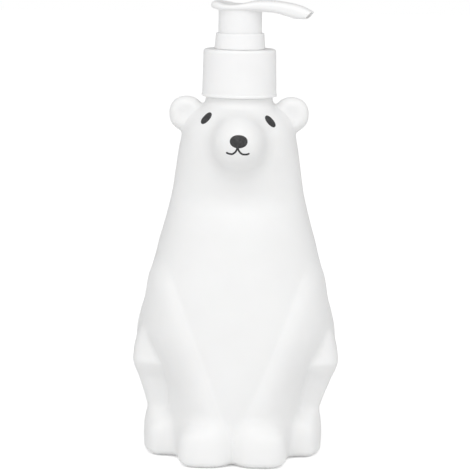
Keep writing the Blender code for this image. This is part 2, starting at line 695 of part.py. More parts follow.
def make_dip_tube(material, parent):
    """Build the dip tube, pushed into the housing, its foot cut at a slant above the base."""
    seat = housing_levels()[-1]
    high = seat - SEAT_GAP
    low = PUSH_UP + WALL + TUBE_FLOOR_GAP
    slant = math.tan(TUBE_CUT_DEGREES * DEG)
    rings = [
        slanted_ring(TUBE_BORE_RADIUS, low, slant),
        slanted_ring(TUBE_RADIUS, low, slant),
        slanted_ring(TUBE_RADIUS, high, 0.0),
        slanted_ring(TUBE_BORE_RADIUS, high, 0.0),
    ]
    return add_object("dip_tube", skin_rings("dip_tube", rings, looped=True), material, parent)


def make_collar(material, parent):
    """Build the locking collar: a ring above the closure, a cup for the skirt and a plug below."""
    seat = CLOSURE_TOP + SEAT_GAP
    floor = collar_floor_top()
    underside = floor - COLLAR_FLOOR
    plug_radius = SOCKET_BORE_RADIUS - SLIDE_GAP
    plug_bore = plug_radius - PLUG_WALL
    plug_end = underside - PLUG_LENGTH
    guide = STEM_RADIUS + SLIDE_GAP
    outline = [
        (COLLAR_BORE_RADIUS, COLLAR_TOP - COLLAR_CHAMFER),
        (COLLAR_BORE_RADIUS, floor),
        (plug_bore, floor),
        (plug_bore, plug_end + PLUG_FLOOR),
        (guide, plug_end + PLUG_FLOOR),
        (guide, plug_end),
        (plug_radius, plug_end),
        (plug_radius, underside),
        (COLLAR_CUP_RADIUS, underside),
        (COLLAR_CUP_RADIUS, seat),
        (COLLAR_LOW_RADIUS, seat),
        (COLLAR_TOP_RADIUS, COLLAR_TOP - COLLAR_CHAMFER),
        (COLLAR_TOP_RADIUS - COLLAR_CHAMFER, COLLAR_TOP),
        (COLLAR_BORE_RADIUS + COLLAR_CHAMFER / 2.0, COLLAR_TOP),
    ]
    return add_object("locking_collar", turned("locking_collar", outline, COLLAR_SIDES), material, parent)


def piston_top():
    """Return the height of the piston's upper end at rest, just below the collar's plug."""
    return collar_floor_top() - COLLAR_FLOOR - PLUG_LENGTH - SEAT_GAP


def make_piston(material, parent):
    """Build the piston seal: two soft lips on a narrower waist, round the stem."""
    high = piston_top()
    low = high - PISTON_LENGTH
    bore = STEM_RADIUS + SLIDE_GAP
    lip = BARREL_BORE_RADIUS - SLIDE_GAP
    waist = lip - PISTON_WAIST
    outline = [
        (bore, low),
        (lip, low),
        (lip, low + PISTON_LIP),
        (waist, low + PISTON_LIP + PISTON_WAIST),
        (waist, high - PISTON_LIP - PISTON_WAIST),
        (lip, high - PISTON_LIP),
        (lip, high),
        (bore, high),
    ]
    return add_object("piston_seal", turned("piston_seal", outline, INNER_SIDES), material, parent)


def stem_top():
    """Return the height of the stem's upper end."""
    return HEAD_UNDERSIDE - STEM_TOP_DROP


def stem_foot():
    """Return the height of the underside of the stem's flange."""
    return piston_top() - PISTON_LENGTH - SEAT_GAP - STEM_FLANGE_THICKNESS


def make_stem(material, parent):
    """Build the hollow stem with the flange under the piston and the outlet ball's cup on top."""
    low = stem_foot()
    high = stem_top()
    cup = high - STEM_CUP_DEPTH
    outline = [
        (STEM_BORE_RADIUS, low),
        (STEM_FLANGE_RADIUS, low),
        (STEM_FLANGE_RADIUS, low + STEM_FLANGE_THICKNESS),
        (STEM_RADIUS, low + STEM_FLANGE_THICKNESS),
        (STEM_RADIUS, high),
        (STEM_CUP_RADIUS, high),
        (STEM_CUP_RADIUS, cup),
        (STEM_BORE_RADIUS, cup - STEM_SEAT_HEIGHT),
    ]
    return add_object("piston_stem", turned("piston_stem", outline, INNER_SIDES), material, parent)


def ball_rest(seat_radius, seat_height, wide_radius, wide_height, ball_radius):
    """Return the height of a ball's centre that rests on a conical seat, a hair above it."""
    run = wide_radius - seat_radius
    rise = wide_height - seat_height
    slant = math.hypot(run, rise)
    reach = (ball_radius + BALL_GAP) * slant / run
    return seat_height - seat_radius * rise / run + reach


def make_ball(name, radius, height, material, parent):
    """Build one valve ball, turned from a half circle."""
    levels = BALL_SIDES // 2
    angles = [-math.pi / 2.0 + math.pi * step / levels for step in range(levels + 1)]
    outline = [(radius * math.cos(a), height + radius * math.sin(a)) for a in angles]
    outline[0] = (0.0, height - radius)
    outline[-1] = (0.0, height + radius)
    return add_object(name, turned(name, outline, BALL_SIDES), material, parent)


def make_spring(material, parent):
    """Build the return spring as one unbroken coil between the housing's ledge and the stem."""
    low = housing_levels()[2] + SEAT_GAP + SPRING_WIRE_RADIUS
    high = stem_foot() - SEAT_GAP - SPRING_WIRE_RADIUS
    count = SPRING_TURNS * SPRING_POINTS_PER_TURN
    shares = np.linspace(0.0, 1.0, count + 1)
    angles = 2.0 * math.pi * SPRING_TURNS * shares
    points = np.stack([
        SPRING_MEAN_RADIUS * np.cos(angles),
        SPRING_MEAN_RADIUS * np.sin(angles),
        low + (high - low) * shares,
    ], axis=-1)
    later = points[:, None, :] - points[None, :, :]
    apart = np.linalg.norm(later, axis=-1)
    order = np.arange(count + 1)
    far = np.abs(order[:, None] - order[None, :]) >= SPRING_POINTS_PER_TURN // 2
    gap = float(apart[far].min()) - 2.0 * SPRING_WIRE_RADIUS
    print("least gap of the spring to itself, in mm:", round(gap / MM, 2))
    curve = bpy.data.curves.new("return_spring", "CURVE")
    curve.dimensions = "3D"
    curve.bevel_depth = SPRING_WIRE_RADIUS
    curve.bevel_resolution = 1
    curve.use_fill_caps = True
    line = curve.splines.new("POLY")
    line.points.add(count)
    line.points.foreach_set("co", np.column_stack([points, np.ones(count + 1)]).ravel())
    wire = bpy.data.objects.new("return_spring", curve)
    bpy.context.scene.collection.objects.link(wire)
    curve.materials.append(material)
    wire.parent = parent
    wire.matrix_parent_inverse = Matrix.Translation(-parent.location)
    return wire


def head_rails():
    """Return the head's upper rail, lower rail and half widths, in the plane of the spout."""
    shares = np.array(HEAD_RAIL_SHARES)
    upper = np.stack([shares[:, 0] * HEAD_REACH, HEAD_UNDERSIDE + shares[:, 1] * HEAD_THICKNESS], axis=-1)
    lower = np.stack([shares[:, 2] * HEAD_REACH, HEAD_UNDERSIDE + shares[:, 3] * HEAD_THICKNESS], axis=-1)
    return upper, lower, shares[:, 4] * HEAD_HALF_WIDTH


def rest_dish(reach, across):
    """Return how deep the thumb rest is hollowed, by the place along and across the head."""
    along = ease(*REST_DISH_START, reach) * (1.0 - ease(*REST_DISH_END, reach))
    return REST_DISH_DEPTH * along * (1.0 - across ** 2) ** 2


def head_top_mesh():
    """Loft the thumb rest and the spout between the two rails, and hollow the rest."""
    upper, lower, widths = head_rails()
    angles = 2.0 * math.pi * (np.arange(HEAD_SECTION_POINTS) + 0.5) / HEAD_SECTION_POINTS
    along = np.sign(np.sin(angles)) * np.abs(np.sin(angles)) ** (2.0 / HEAD_POWER)
    across = np.sign(np.cos(angles)) * np.abs(np.cos(angles)) ** (2.0 / HEAD_POWER)
    rings = []
    for top, bottom, width in zip(upper, lower, widths):
        middle = (top + bottom) / 2.0
        half = (top - bottom) / 2.0
        x = middle[0] + along * half[0]
        z = middle[1] + along * half[1] - np.where(along > 0.0, rest_dish(middle[0], across), 0.0)
        rings.append(np.stack([x, across * width, z], axis=-1).tolist())
    first = (upper[0] + lower[0]) / 2.0
    last = (upper[-1] + lower[-1]) / 2.0
    return skin_rings("head_top", rings, (first[0], 0.0, first[1]), (last[0], 0.0, last[1]))


def head_skirt_mesh():
    """Turn the skirt and the stem socket, joined by the head's roof."""
    high = HEAD_UNDERSIDE + HEAD_ROOF
    skirt_end = COLLAR_TOP - SKIRT_ENGAGED
    socket_end = HEAD_UNDERSIDE - STEM_SOCKET_LENGTH
    bore = STEM_RADIUS + STEM_GRIP
    cavity = HEAD_UNDERSIDE - HEAD_ROOF
    ceiling = stem_top() + STEM_HEAD_GAP
    outline = [
        (0.0, ceiling),
        (bore, ceiling),
        (bore, socket_end),
        (STEM_SOCKET_RADIUS, socket_end),
        (STEM_SOCKET_RADIUS, cavity),
        (SKIRT_RADIUS - SKIRT_WALL, cavity),
        (SKIRT_RADIUS - SKIRT_WALL, skirt_end),
        (SKIRT_RADIUS, skirt_end),
        (SKIRT_RADIUS, high),
        (0.0, high),
    ]
    return turned("head_skirt", outline, COLLAR_SIDES)


def channel_mesh():
    """Build the cutter for the channel: up from the stem, round the elbow, out of the flat mouth."""
    upper, lower, _ = head_rails()
    middle = (upper + lower) / 2.0
    start = stem_top() + STEM_HEAD_GAP - CUT_OVERRUN
    level = HEAD_UNDERSIDE + CHANNEL_RISE
    out = middle[-1] - middle[-2]
    out = out / np.linalg.norm(out)
    path = [(0.0, start), (0.0, level - CHANNEL_RADIUS)]
    path += [(CHANNEL_RADIUS * (1.0 - math.cos(a)), level - CHANNEL_RADIUS * (1.0 - math.sin(a)))
             for a in (degrees * DEG for degrees in ELBOW_DEGREES)]
    path += [tuple(point) for point in middle[middle[:, 0] > SKIRT_RADIUS]]
    path.append(tuple(middle[-1] + out * CUT_OVERRUN))
    path = np.array(path)
    flare = ease(0.0, middle[-1, 0], path[:, 0])
    talls = CHANNEL_RADIUS + (MOUTH_HALF_HEIGHT - CHANNEL_RADIUS) * flare
    wides = CHANNEL_RADIUS + (MOUTH_HALF_WIDTH - CHANNEL_RADIUS) * flare
    tangent = np.gradient(path, axis=0)
    tangent = tangent / np.linalg.norm(tangent, axis=1)[:, None]
    angles = 2.0 * math.pi * np.arange(BALL_SIDES) / BALL_SIDES
    rings = []
    for place, forward, tall, wide in zip(path, tangent, talls, wides):
        x = place[0] - forward[1] * tall * np.cos(angles)
        z = place[1] + forward[0] * tall * np.cos(angles)
        rings.append(np.stack([x, wide * np.sin(angles), z], axis=-1).tolist())
    ends = ((path[0][0], 0.0, path[0][1]), (path[-1][0], 0.0, path[-1][1]))
    return skin_rings("channel", rings, *ends)


def boolean(target, mesh, operation, name):
    """Join a mesh to an object, or cut it out, and keep the result as the object's mesh."""
    tool = bpy.data.objects.new(name, mesh)
    bpy.context.scene.collection.objects.link(tool)
    cut = target.modifiers.new(name, "BOOLEAN")
    cut.operation = operation
    cut.solver = "EXACT"
    cut.object = tool
    result = bpy.data.meshes.new_from_object(target.evaluated_get(bpy.context.evaluated_depsgraph_get()))
    target.modifiers.clear()
    target.data = result
    bpy.data.objects.remove(tool)


def make_head(material, parent):
    """Build the pump head: thumb rest, spout, skirt and socket as one piece with its channel."""
    head = bpy.data.objects.new("pump_head", head_top_mesh())
    bpy.context.scene.collection.objects.link(head)
    bpy.context.view_layer.update()
    boolean(head, head_skirt_mesh(), "UNION", "skirt")
    boolean(head, channel_mesh(), "DIFFERENCE", "channel")
    mesh = head.data
    bpy.data.objects.remove(head)
    mesh.transform(Matrix.Rotation(HEAD_TURN_DEGREES * DEG, 4, Vector((0.0, 0.0, 1.0))))
    mesh.materials.clear()
    return add_object("pump_head", mesh, material, parent)


def main():
    """Clear the scene and build the dispenser."""
    for leftover in list(bpy.data.objects):
        bpy.data.objects.remove(leftover)
    bottle_white = plastic("bottle_white", WHITE_BOTTLE, 0.45)
    pump_white = plastic("pump_white", WHITE_PUMP, 0.35)
    natural = plastic("natural_plastic", NATURAL_PLASTIC, 0.4)
    seal = plastic("seal_grey", SEAL_GREY, 0.6)
    steel = plastic("spring_steel", STEEL, 0.3, metallic=1.0)

    make_bottle(bottle_white)
    core_axis = add_axis("pump_core_axis", FLANGE_TOP)
    closure_axis = add_axis("closure_axis", CLOSURE_BOTTOM)
    piston_axis = add_axis("piston_axis", stem_foot(), core_axis)
    head_axis = add_axis("head_axis", HEAD_UNDERSIDE, piston_axis)
    make_closure(pump_white, closure_axis)
    make_gasket(seal, core_axis)
    make_housing(natural, core_axis)
    make_dip_tube(natural, core_axis)
    make_collar(pump_white, core_axis)
    make_spring(steel, core_axis)
    make_piston(seal, piston_axis)
    make_stem(natural, piston_axis)
    make_head(pump_white, head_axis)

    levels = housing_levels()
    inlet = ball_rest(VALVE_SEAT_RADIUS, levels[5], CHAMBER_BORE_RADIUS, levels[4], INLET_BALL_RADIUS)
    inlet_axis = add_axis("inlet_ball_axis", inlet, core_axis)
    make_ball("inlet_ball", INLET_BALL_RADIUS, inlet, steel, inlet_axis)
    cup = stem_top() - STEM_CUP_DEPTH
    outlet = ball_rest(STEM_BORE_RADIUS, cup - STEM_SEAT_HEIGHT, STEM_CUP_RADIUS, cup, OUTLET_BALL_RADIUS)
    outlet_axis = add_axis("outlet_ball_axis", outlet, piston_axis)
    make_ball("outlet_ball", OUTLET_BALL_RADIUS, outlet, steel, outlet_axis)


main()
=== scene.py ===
"""Looks of a bear shampoo dispenser: a blow-moulded sitting bear with a printed face, and its lotion pump.

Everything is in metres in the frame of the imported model: +Z up, the pump's axis is Z, the bear
faces -Y. The bottle is one smooth field of blended forms. A grid of rays from inside finds its
skin, the grid is then evened out over the skin, and the face is printed on it as a thin film.
"""
import logging
import math
from dataclasses import dataclass
from enum import Enum
from typing import Callable, Optional, Sequence, Union

import bpy
import numpy as np
from mathutils import Matrix, Vector


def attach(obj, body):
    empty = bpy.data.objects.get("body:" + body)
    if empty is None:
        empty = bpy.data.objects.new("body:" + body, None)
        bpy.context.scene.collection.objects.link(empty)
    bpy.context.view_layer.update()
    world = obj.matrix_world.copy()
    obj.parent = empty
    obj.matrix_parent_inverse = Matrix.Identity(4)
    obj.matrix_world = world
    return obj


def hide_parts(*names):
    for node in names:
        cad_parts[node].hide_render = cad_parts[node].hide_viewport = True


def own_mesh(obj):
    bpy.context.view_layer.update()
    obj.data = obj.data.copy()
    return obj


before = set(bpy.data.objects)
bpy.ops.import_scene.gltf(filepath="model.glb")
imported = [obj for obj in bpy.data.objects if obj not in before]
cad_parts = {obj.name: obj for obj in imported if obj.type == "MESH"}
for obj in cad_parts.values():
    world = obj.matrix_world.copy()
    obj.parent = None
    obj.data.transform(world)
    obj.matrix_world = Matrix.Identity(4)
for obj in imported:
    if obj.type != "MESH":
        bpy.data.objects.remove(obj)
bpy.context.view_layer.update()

LOG = logging.getLogger("bear_dispenser")

Array = np.ndarray
Pair = tuple[float, float]
Triple = tuple[float, float, float]
Amount = Union[float, Array]
Mesh = bpy.types.Mesh
Material = bpy.types.Material
Node = bpy.types.Node
Socket = bpy.types.NodeSocket
Inputs = dict[Union[str, int], object]
Relief = Callable[[Array, Array, Array], Array]

MM = 0.001
TURN = 2.0 * math.pi
NOISE_MIDDLE = (0.3, 0.7)
SAME_POINT = 1e-3 * MM
COARSE = 1


class Body(Enum):
    """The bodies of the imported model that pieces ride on."""

    BOTTLE = "bottle"
    PUMP_CORE = "pump_core"
    CLOSURE = "closure"
    PISTON = "piston"
    HEAD = "head"
    INLET_BALL = "inlet_ball"
    OUTLET_BALL = "outlet_ball"


class Slot(Enum):
    """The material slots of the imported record."""

    BOTTLE_WHITE = "bottle_white"
    PUMP_WHITE = "pump_white"
    NATURAL = "natural_plastic"
    SEAL = "seal_grey"
    STEEL = "spring_steel"


class Side(Enum):
    """The bear's two sides, as the sign of X."""

    LEFT = -1.0
    RIGHT = 1.0


# Finishes


class Wiring:
    """The node tree of a material or world, to which nodes are added already wired."""

    def __init__(self, owner: bpy.types.ID) -> None:
        """Turn on the nodes of the owner.

        Args:
            owner: a new material or world.
        """
        owner.use_nodes = True
        self.nodes = owner.node_tree.nodes
        self.links = owner.node_tree.links

    def feed(self, node: Node, inputs: Inputs) -> None:
        """Give a node's inputs the sockets that feed them, or fixed values.

        Args:
            node: the node.
            inputs: a socket or a value for each input, by its name or number.
        """
        for key, source in inputs.items():
            if isinstance(source, Socket):
                self.links.new(source, node.inputs[key])
            else:
                node.inputs[key].default_value = source

    def add(self, kind: str, inputs: Inputs, **options: str) -> Node:
        """Add a node.

        Args:
            kind: Blender's name for the type of node.
            inputs: what feeds its inputs, as in feed.
            options: its settings.

        Returns:
            The node.
        """
        node = self.nodes.new(kind)
        for option, value in options.items():
            setattr(node, option, value)
        self.feed(node, inputs)
        return node


class Shading(Wiring):
    """A new material's node tree round one Principled shader, on Object coordinates."""

    def __init__(self, name: str) -> None:
        """Start the material.

        Args:
            name: the material's name.
        """
        self.material = bpy.data.materials.new(name)
        super().__init__(self.material)
        self.shader = self.nodes["Principled BSDF"]
        self.place = self.add("ShaderNodeTexCoord", {}).outputs["Object"]

    def noise(self, size: float, detail: float = 2.0, stretch: Triple = (1.0, 1.0, 1.0)) -> Socket:
        """Return the value of a noise whose blotches are about `size` metres across.

        Args:
            size: the size of a blotch in metres.
            detail: how many finer layers the noise has.
            stretch: shares of the scale along X, Y and Z.

        Returns:
            The noise's value.
        """
        mapping = self.add("ShaderNodeMapping", {"Vector": self.place, "Scale": stretch})
        noise = self.add("ShaderNodeTexNoise", {
            "Vector": mapping.outputs["Vector"], "Scale": 1.0 / size, "Detail": detail})
        return noise.outputs["Fac"]

    def ranged(self, value: Socket, low: float, high: float) -> Socket:
        """Spread a noise over a range, its middle part stretched to fill it.

        Args:
            value: the noise.
            low: the range's start.
            high: the range's end.

        Returns:
            The spread value.
        """
        spread = self.add("ShaderNodeMapRange", {
            "Value": value, "From Min": NOISE_MIDDLE[0], "From Max": NOISE_MIDDLE[1],
            "To Min": low, "To Max": high})
        return spread.outputs["Result"]

    def tinted(self, value: Socket, first: Triple, second: Triple) -> None:
        """Colour the shader between two colours.

        Args:
            value: 0 for the first colour and 1 for the second.
            first: the first colour.
            second: the second colour.
        """
        mix = self.add("ShaderNodeMix", {0: value}, data_type="RGBA")
        colours = [socket for socket in mix.inputs if socket.type == "RGBA"]
        for socket, colour in zip(colours, (first, second)):
            socket.default_value = (*colour, 1.0)
        result = next(socket for socket in mix.outputs if socket.type == "RGBA")
        self.feed(self.shader, {"Base Color": result})

    def rough(self, value: Socket, low: float, high: float) -> None:
        """Vary the shader's roughness from `low` to `high` with the value."""
        self.feed(self.shader, {"Roughness": self.ranged(value, low, high)})

    def textured(self, value: Socket, depth: float) -> None:
        """Raise the surface by the value times `depth` metres, as a bump."""
        bump = self.add("ShaderNodeBump", {"Height": value, "Strength": 1.0, "Distance": depth})
        self.feed(self.shader, {"Normal": bump.outputs["Normal"]})


@dataclass(frozen=True)
class MouldedPlastic:
    """A moulded plastic: faint clouds in its colour, an uneven satin gloss and a fine orange peel."""

    name: str
    colour: Triple
    clouded: Triple
    gloss: Pair
    cloud_size: float
    peel_size: float
    peel_depth: float
    softness: float
    soft_reach: float
    clear: float = 0.0
    flow: Triple = (1.0, 1.0, 1.0)

    def material(self) -> Material:
        """Build the material.

        Returns:
            The finished material.
        """
        shading = Shading(self.name)
        shading.tinted(shading.ranged(shading.noise(self.cloud_size, 3.0, self.flow), 0.0, 1.0),
                       self.colour, self.clouded)
        shading.rough(shading.noise(self.cloud_size / 3.0, 4.0, self.flow), *self.gloss)
        shading.textured(shading.noise(self.peel_size, 1.0), self.peel_depth)
        shading.feed(shading.shader, {
            "IOR": 1.5, "Subsurface Weight": self.softness, "Subsurface Scale": self.soft_reach,
            "Subsurface Radius": (1.0, 0.95, 0.9), "Transmission Weight": self.clear})
        return shading.material


@dataclass(frozen=True)
class PrintInk:
    """Pad-printed ink: a dark grey film with pale flecks where the pad left it thin."""

    name: str
    colour: Triple
    thin: Triple
    fleck_size: float
    gloss: Pair = (0.42, 0.62)
    edge_depth: float = 0.01 * MM

    def material(self) -> Material:
        """Build the material.

        Returns:
            The finished material.
        """
        shading = Shading(self.name)
        shading.tinted(shading.ranged(shading.noise(self.fleck_size, 5.0), -0.4, 1.0), self.colour, self.thin)
        shading.rough(shading.noise(self.fleck_size, 3.0), *self.gloss)
        shading.textured(shading.noise(self.fleck_size / 2.0, 2.0), self.edge_depth)
        shading.feed(shading.shader, {"IOR": 1.48})
        return shading.material


@dataclass(frozen=True)
class DrawnSteel:
    """Bright stainless steel with fine drawn or lapped lines."""

    name: str
    colour: Triple
    worn: Triple
    line_size: float
    along: Triple
    gloss: Pair = (0.18, 0.34)
    line_depth: float = 0.004 * MM

    def material(self) -> Material:
        """Build the material.

        Returns:
            The finished material.
        """
        shading = Shading(self.name)
        lines = shading.noise(self.line_size, 3.0, self.along)
        shading.tinted(shading.ranged(lines, 0.0, 1.0), self.colour, self.worn)
        shading.rough(shading.noise(self.line_size * 4.0, 2.0, self.along), *self.gloss)
        shading.textured(lines, self.line_depth)
        shading.feed(shading.shader, {"Metallic": 1.0})
        return shading.material


BOTTLE_PLASTIC = MouldedPlastic(
    "blown_polyethylene_white", (0.900, 0.900, 0.896), (0.880, 0.880, 0.876), (0.42, 0.50),
    18.0 * MM, 0.9 * MM, 0.012 * MM, 0.25, 1.6 * MM)
PUMP_PLASTIC = MouldedPlastic(
    "moulded_polypropylene_white", (0.925, 0.925, 0.925), (0.910, 0.910, 0.910), (0.30, 0.38),
    9.0 * MM, 0.5 * MM, 0.006 * MM, 0.2, 1.0 * MM)
NATURAL_PLASTIC = MouldedPlastic(
    "natural_polypropylene", (0.84, 0.855, 0.845), (0.78, 0.80, 0.79), (0.28, 0.40),
    6.0 * MM, 0.6 * MM, 0.006 * MM, 0.6, 2.0 * MM, clear=0.25, flow=(1.0, 1.0, 0.35))
TUBE_PLASTIC = MouldedPlastic(
    "extruded_polyethylene", (0.85, 0.86, 0.855), (0.80, 0.815, 0.81), (0.25, 0.36),
    4.0 * MM, 0.5 * MM, 0.008 * MM, 0.6, 2.0 * MM, clear=0.35, flow=(1.0, 1.0, 0.05))
SEAL_PLASTIC = MouldedPlastic(
    "soft_seal_grey", (0.60, 0.61, 0.62), (0.54, 0.55, 0.56), (0.50, 0.64),
    3.0 * MM, 0.3 * MM, 0.01 * MM, 0.1, 0.5 * MM)
FACE_INK = PrintInk("pad_print_grey", (0.022, 0.022, 0.023), (0.055, 0.055, 0.057), 0.9 * MM)
SPRING_STEEL = DrawnSteel(
    "drawn_spring_steel", (0.62, 0.62, 0.63), (0.50, 0.50, 0.51), 0.3 * MM, (1.0, 1.0, 0.2))
BALL_STEEL = DrawnSteel(
    "lapped_ball_steel", (0.66, 0.66, 0.67), (0.56, 0.56, 0.57), 0.5 * MM, (1.0, 1.0, 1.0))


# From numbers to meshes


def ease(low: float, high: float, value: Array) -> Array:
    """Return 0 below low, 1 above high and a smooth step between: 3 s squared less 2 s cubed."""
    share = np.clip((value - low) / (high - low), 0.0, 1.0)
    return share * share * (3.0 - 2.0 * share)


def follow(knots: Array, values: Array, query: Array) -> Array:
    """Return a smooth curve through knots that never overshoots them.

    Each span is a cubic. The slope at a knot is the harmonic mean of the slopes on its two
    sides, or zero where these differ in sign.

    Args:
        knots: places of the knots, rising.
        values: the value at each knot.
        query: the places to read.

    Returns:
        The curve's values at the query.
    """
    gaps = np.diff(knots)
    rises = np.diff(values) / gaps
    before, after = rises[:-1], rises[1:]
    same = before * after > 0.0
    total = np.where(same, before + after, 1.0)
    inner = np.where(same, 2.0 * before * after / total, 0.0)
    slopes = np.concatenate(([rises[0]], inner, [rises[-1]]))
    query = np.clip(query, knots[0], knots[-1])
    spot = np.clip(np.searchsorted(knots, query) - 1, 0, len(gaps) - 1)
    gap = gaps[spot]
    step = (query - knots[spot]) / gap
    square = step * step
    cube = square * step
    return (values[spot] * (2.0 * cube - 3.0 * square + 1.0)
            + values[spot + 1] * (3.0 * square - 2.0 * cube)
            + gap * (slopes[spot] * (cube - 2.0 * square + step) + slopes[spot + 1] * (cube - square)))


def circle(count: int) -> Array:
    """Return that many angles, even round a turn."""
    return TURN * np.arange(count) / count


def unit(vectors: Array) -> Array:
    """Return the vectors of the last axis at length one."""
    return vectors / np.linalg.norm(vectors, axis=-1, keepdims=True)


def fuller(wave: Array, power: Amount) -> Array:
    """Return a sine or cosine bent to an oval of that power: its sign times |wave| to 2 / power."""
    return np.sign(wave) * np.abs(wave) ** (2.0 / power)


def finer(values: Sequence[float], times: int) -> Array:
    """Add values between the given ones, on a smooth curve.

    Args:
        values: the values to go through.
        times: how many steps there are from one to the next.

    Returns:
        The finer row of values.
    """
    knots = np.arange(len(values), dtype=float)
    count = (len(values) - 1) * times + 1
    return follow(knots, np.array(values, float), np.linspace(0.0, len(values) - 1.0, count))


def blend_union(first: Array, second: Array, width: float) -> Array:
    """Return the union of two distances with a fillet: a quadratic smooth minimum of that width."""
    share = np.clip(0.5 + 0.5 * (second - first) / width, 0.0, 1.0)
    return second + (first - second) * share - width * share * (1.0 - share)


def round_meeting(first: Array, second: Array, radius: float) -> Array:
    """Return the space inside both distances, the edge between them rounded to the radius."""
    outside = np.hypot(np.maximum(first + radius, 0.0), np.maximum(second + radius, 0.0))
    return outside + np.minimum(np.maximum(first, second) + radius, 0.0) - radius


def make_mesh(name: str, points: Array, quads: Array, triangles: Array) -> Mesh:
    """Put arrays into a mesh whose faces point out.

    The signed volume is the sum over triangles of a . (b x c) / 6. Where it is negative every
    face is turned round.

    Args:
        name: the mesh's name.
        points: the vertices, N by 3.
        quads: four-sided faces, M by 4.
        triangles: three-sided faces, K by 3.

    Returns:
        The mesh.
    """
    fans = np.concatenate([quads[:, [0, 1, 2]], quads[:, [0, 2, 3]], triangles])
    a, b, c = points[fans[:, 0]], points[fans[:, 1]], points[fans[:, 2]]
    if np.einsum("ij,ij->", a, np.cross(b, c)) < 0.0:
        quads, triangles = quads[:, ::-1], triangles[:, ::-1]
    corners = np.concatenate([quads.ravel(), triangles.ravel()])
    starts = np.concatenate([4 * np.arange(len(quads)), 4 * len(quads) + 3 * np.arange(len(triangles))])
    mesh = bpy.data.meshes.new(name)
    mesh.vertices.add(len(points))
    mesh.vertices.foreach_set("co", points.astype(np.float32).ravel())
    mesh.loops.add(len(corners))
    mesh.loops.foreach_set("vertex_index", corners.astype(np.int32))
    mesh.polygons.add(len(starts))
    mesh.polygons.foreach_set("loop_start", starts.astype(np.int32))
    mesh.update(calc_edges=True)
    mesh.validate()
    return mesh


def closed_skin(name: str, rings: Array, poles: Optional[Array] = None) -> Mesh:
    """Join a grid of rings into a closed mesh.

    The face of row i and side j has the corners (i, j), (i, j + 1), (i + 1, j + 1), (i + 1, j).
    With poles the first and last ring close on a point each, and without them the last ring
    joins the first.

    Args:
        name: the mesh's name.
        rings: points, rows by sides by 3.
        poles: the two end points, 2 by 3, or None for a closed loop of rings.

    Returns:
        The mesh.
    """
    rows, sides = rings.shape[:2]
    index = np.arange(rows * sides).reshape(rows, sides)
    beside = np.roll(index, -1, axis=1)
    points = rings.reshape(-1, 3)
    if poles is None:
        faces = [index, beside, np.roll(beside, -1, axis=0), np.roll(index, -1, axis=0)]
        triangles = np.zeros((0, 3), int)
    else:
        faces = [index[:-1], beside[:-1], beside[1:], index[1:]]
        ends = np.full(sides, rows * sides)
        triangles = np.concatenate([
            np.stack([beside[0], index[0], ends], axis=-1),
            np.stack([index[-1], beside[-1], ends + 1], axis=-1)])
        points = np.concatenate([points, poles])
    return make_mesh(name, points, np.stack(faces, axis=-1).reshape(-1, 4), triangles)


def rounded(corners: Array, steps: int = 6) -> Array:
    """Round the corners of an outline in the radius and height plane.

    Each corner becomes a circle's arc, drawn as a rational quadratic curve: its ends lie
    roundness / tan(half the corner's angle) from the corner, and its weight is the sine of it.

    Args:
        corners: rows of radius, height and roundness.
        steps: points on each arc.

    Returns:
        The outline, rows of radius and height, with no point twice.
    """
    spot, size = corners[:, :2], corners[:, 2]
    before = np.roll(spot, 1, axis=0) - spot
    after = np.roll(spot, -1, axis=0) - spot
    near = np.linalg.norm(before, axis=1)
    far = np.linalg.norm(after, axis=1)
    before, after = before / near[:, None], after / far[:, None]
    half = np.arccos(np.clip(np.sum(before * after, axis=1), -0.9999, 0.9999)) / 2.0
    cut = np.minimum(size / np.tan(half), 0.48 * np.minimum(near, far))
    first = (spot + before * cut[:, None])[:, None, :]
    last = (spot + after * cut[:, None])[:, None, :]
    share = np.linspace(0.0, 1.0, steps)[None, :, None]
    middle = 2.0 * np.sin(half)[:, None, None] * share * (1.0 - share)
    arc = (first * (1.0 - share) ** 2 + spot[:, None, :] * middle + last * share ** 2)
    outline = (arc / ((1.0 - share) ** 2 + middle + share ** 2)).reshape(-1, 2)
    apart = np.linalg.norm(outline - np.roll(outline, 1, axis=0), axis=1)
    return outline[apart > SAME_POINT]


def refined(outline: Array, longest: float, looped: bool = True) -> Array:
    """Add points on the straight runs of an outline.

    Args:
        outline: rows of radius and height.
        longest: the longest run that is left, in metres.
        looped: whether the last point joins the first.

    Returns:
        The outline with its added points.
    """
    runs = np.roll(outline, -1, axis=0) - outline
    runs = runs if looped else runs[:-1]
    counts = np.maximum(np.ceil(np.linalg.norm(runs, axis=1) / longest).astype(int), 1)
    owner = np.repeat(np.arange(len(counts)), counts)
    share = (np.arange(len(owner)) - np.repeat(np.cumsum(counts) - counts, counts)) / counts[owner]
    points = outline[owner] + runs[owner] * share[:, None]
    return points if looped else np.concatenate([points, outline[-1:]])


def turned(name: str, outline: Array, sides: int, relief: Optional[Relief] = None) -> Mesh:
    """Turn an outline about the Z axis: x = r cos a, y = r sin a, z = height.

    Args:
        name: the mesh's name.
        outline: rows of radius and height. One that starts and ends on the axis gets poles.
        sides: how many steps a turn has.
        relief: what is added to the radius at each angle, radius and height, if anything.

    Returns:
        The closed mesh.
    """
    poles = None
    if outline[0, 0] < 1e-9:
        poles = np.array([(0.0, 0.0, outline[0, 1]), (0.0, 0.0, outline[-1, 1])])
        outline = outline[1:-1]
    angle = circle(sides)[None, :] + 0.0 * outline[:, :1]
    radius = outline[:, :1] + 0.0 * angle
    height = outline[:, 1:] + 0.0 * angle
    if relief is not None:
        radius = radius + relief(angle, radius, height)
    rings = np.stack([radius * np.cos(angle), radius * np.sin(angle), height], axis=-1)
    return closed_skin(name, rings, poles)


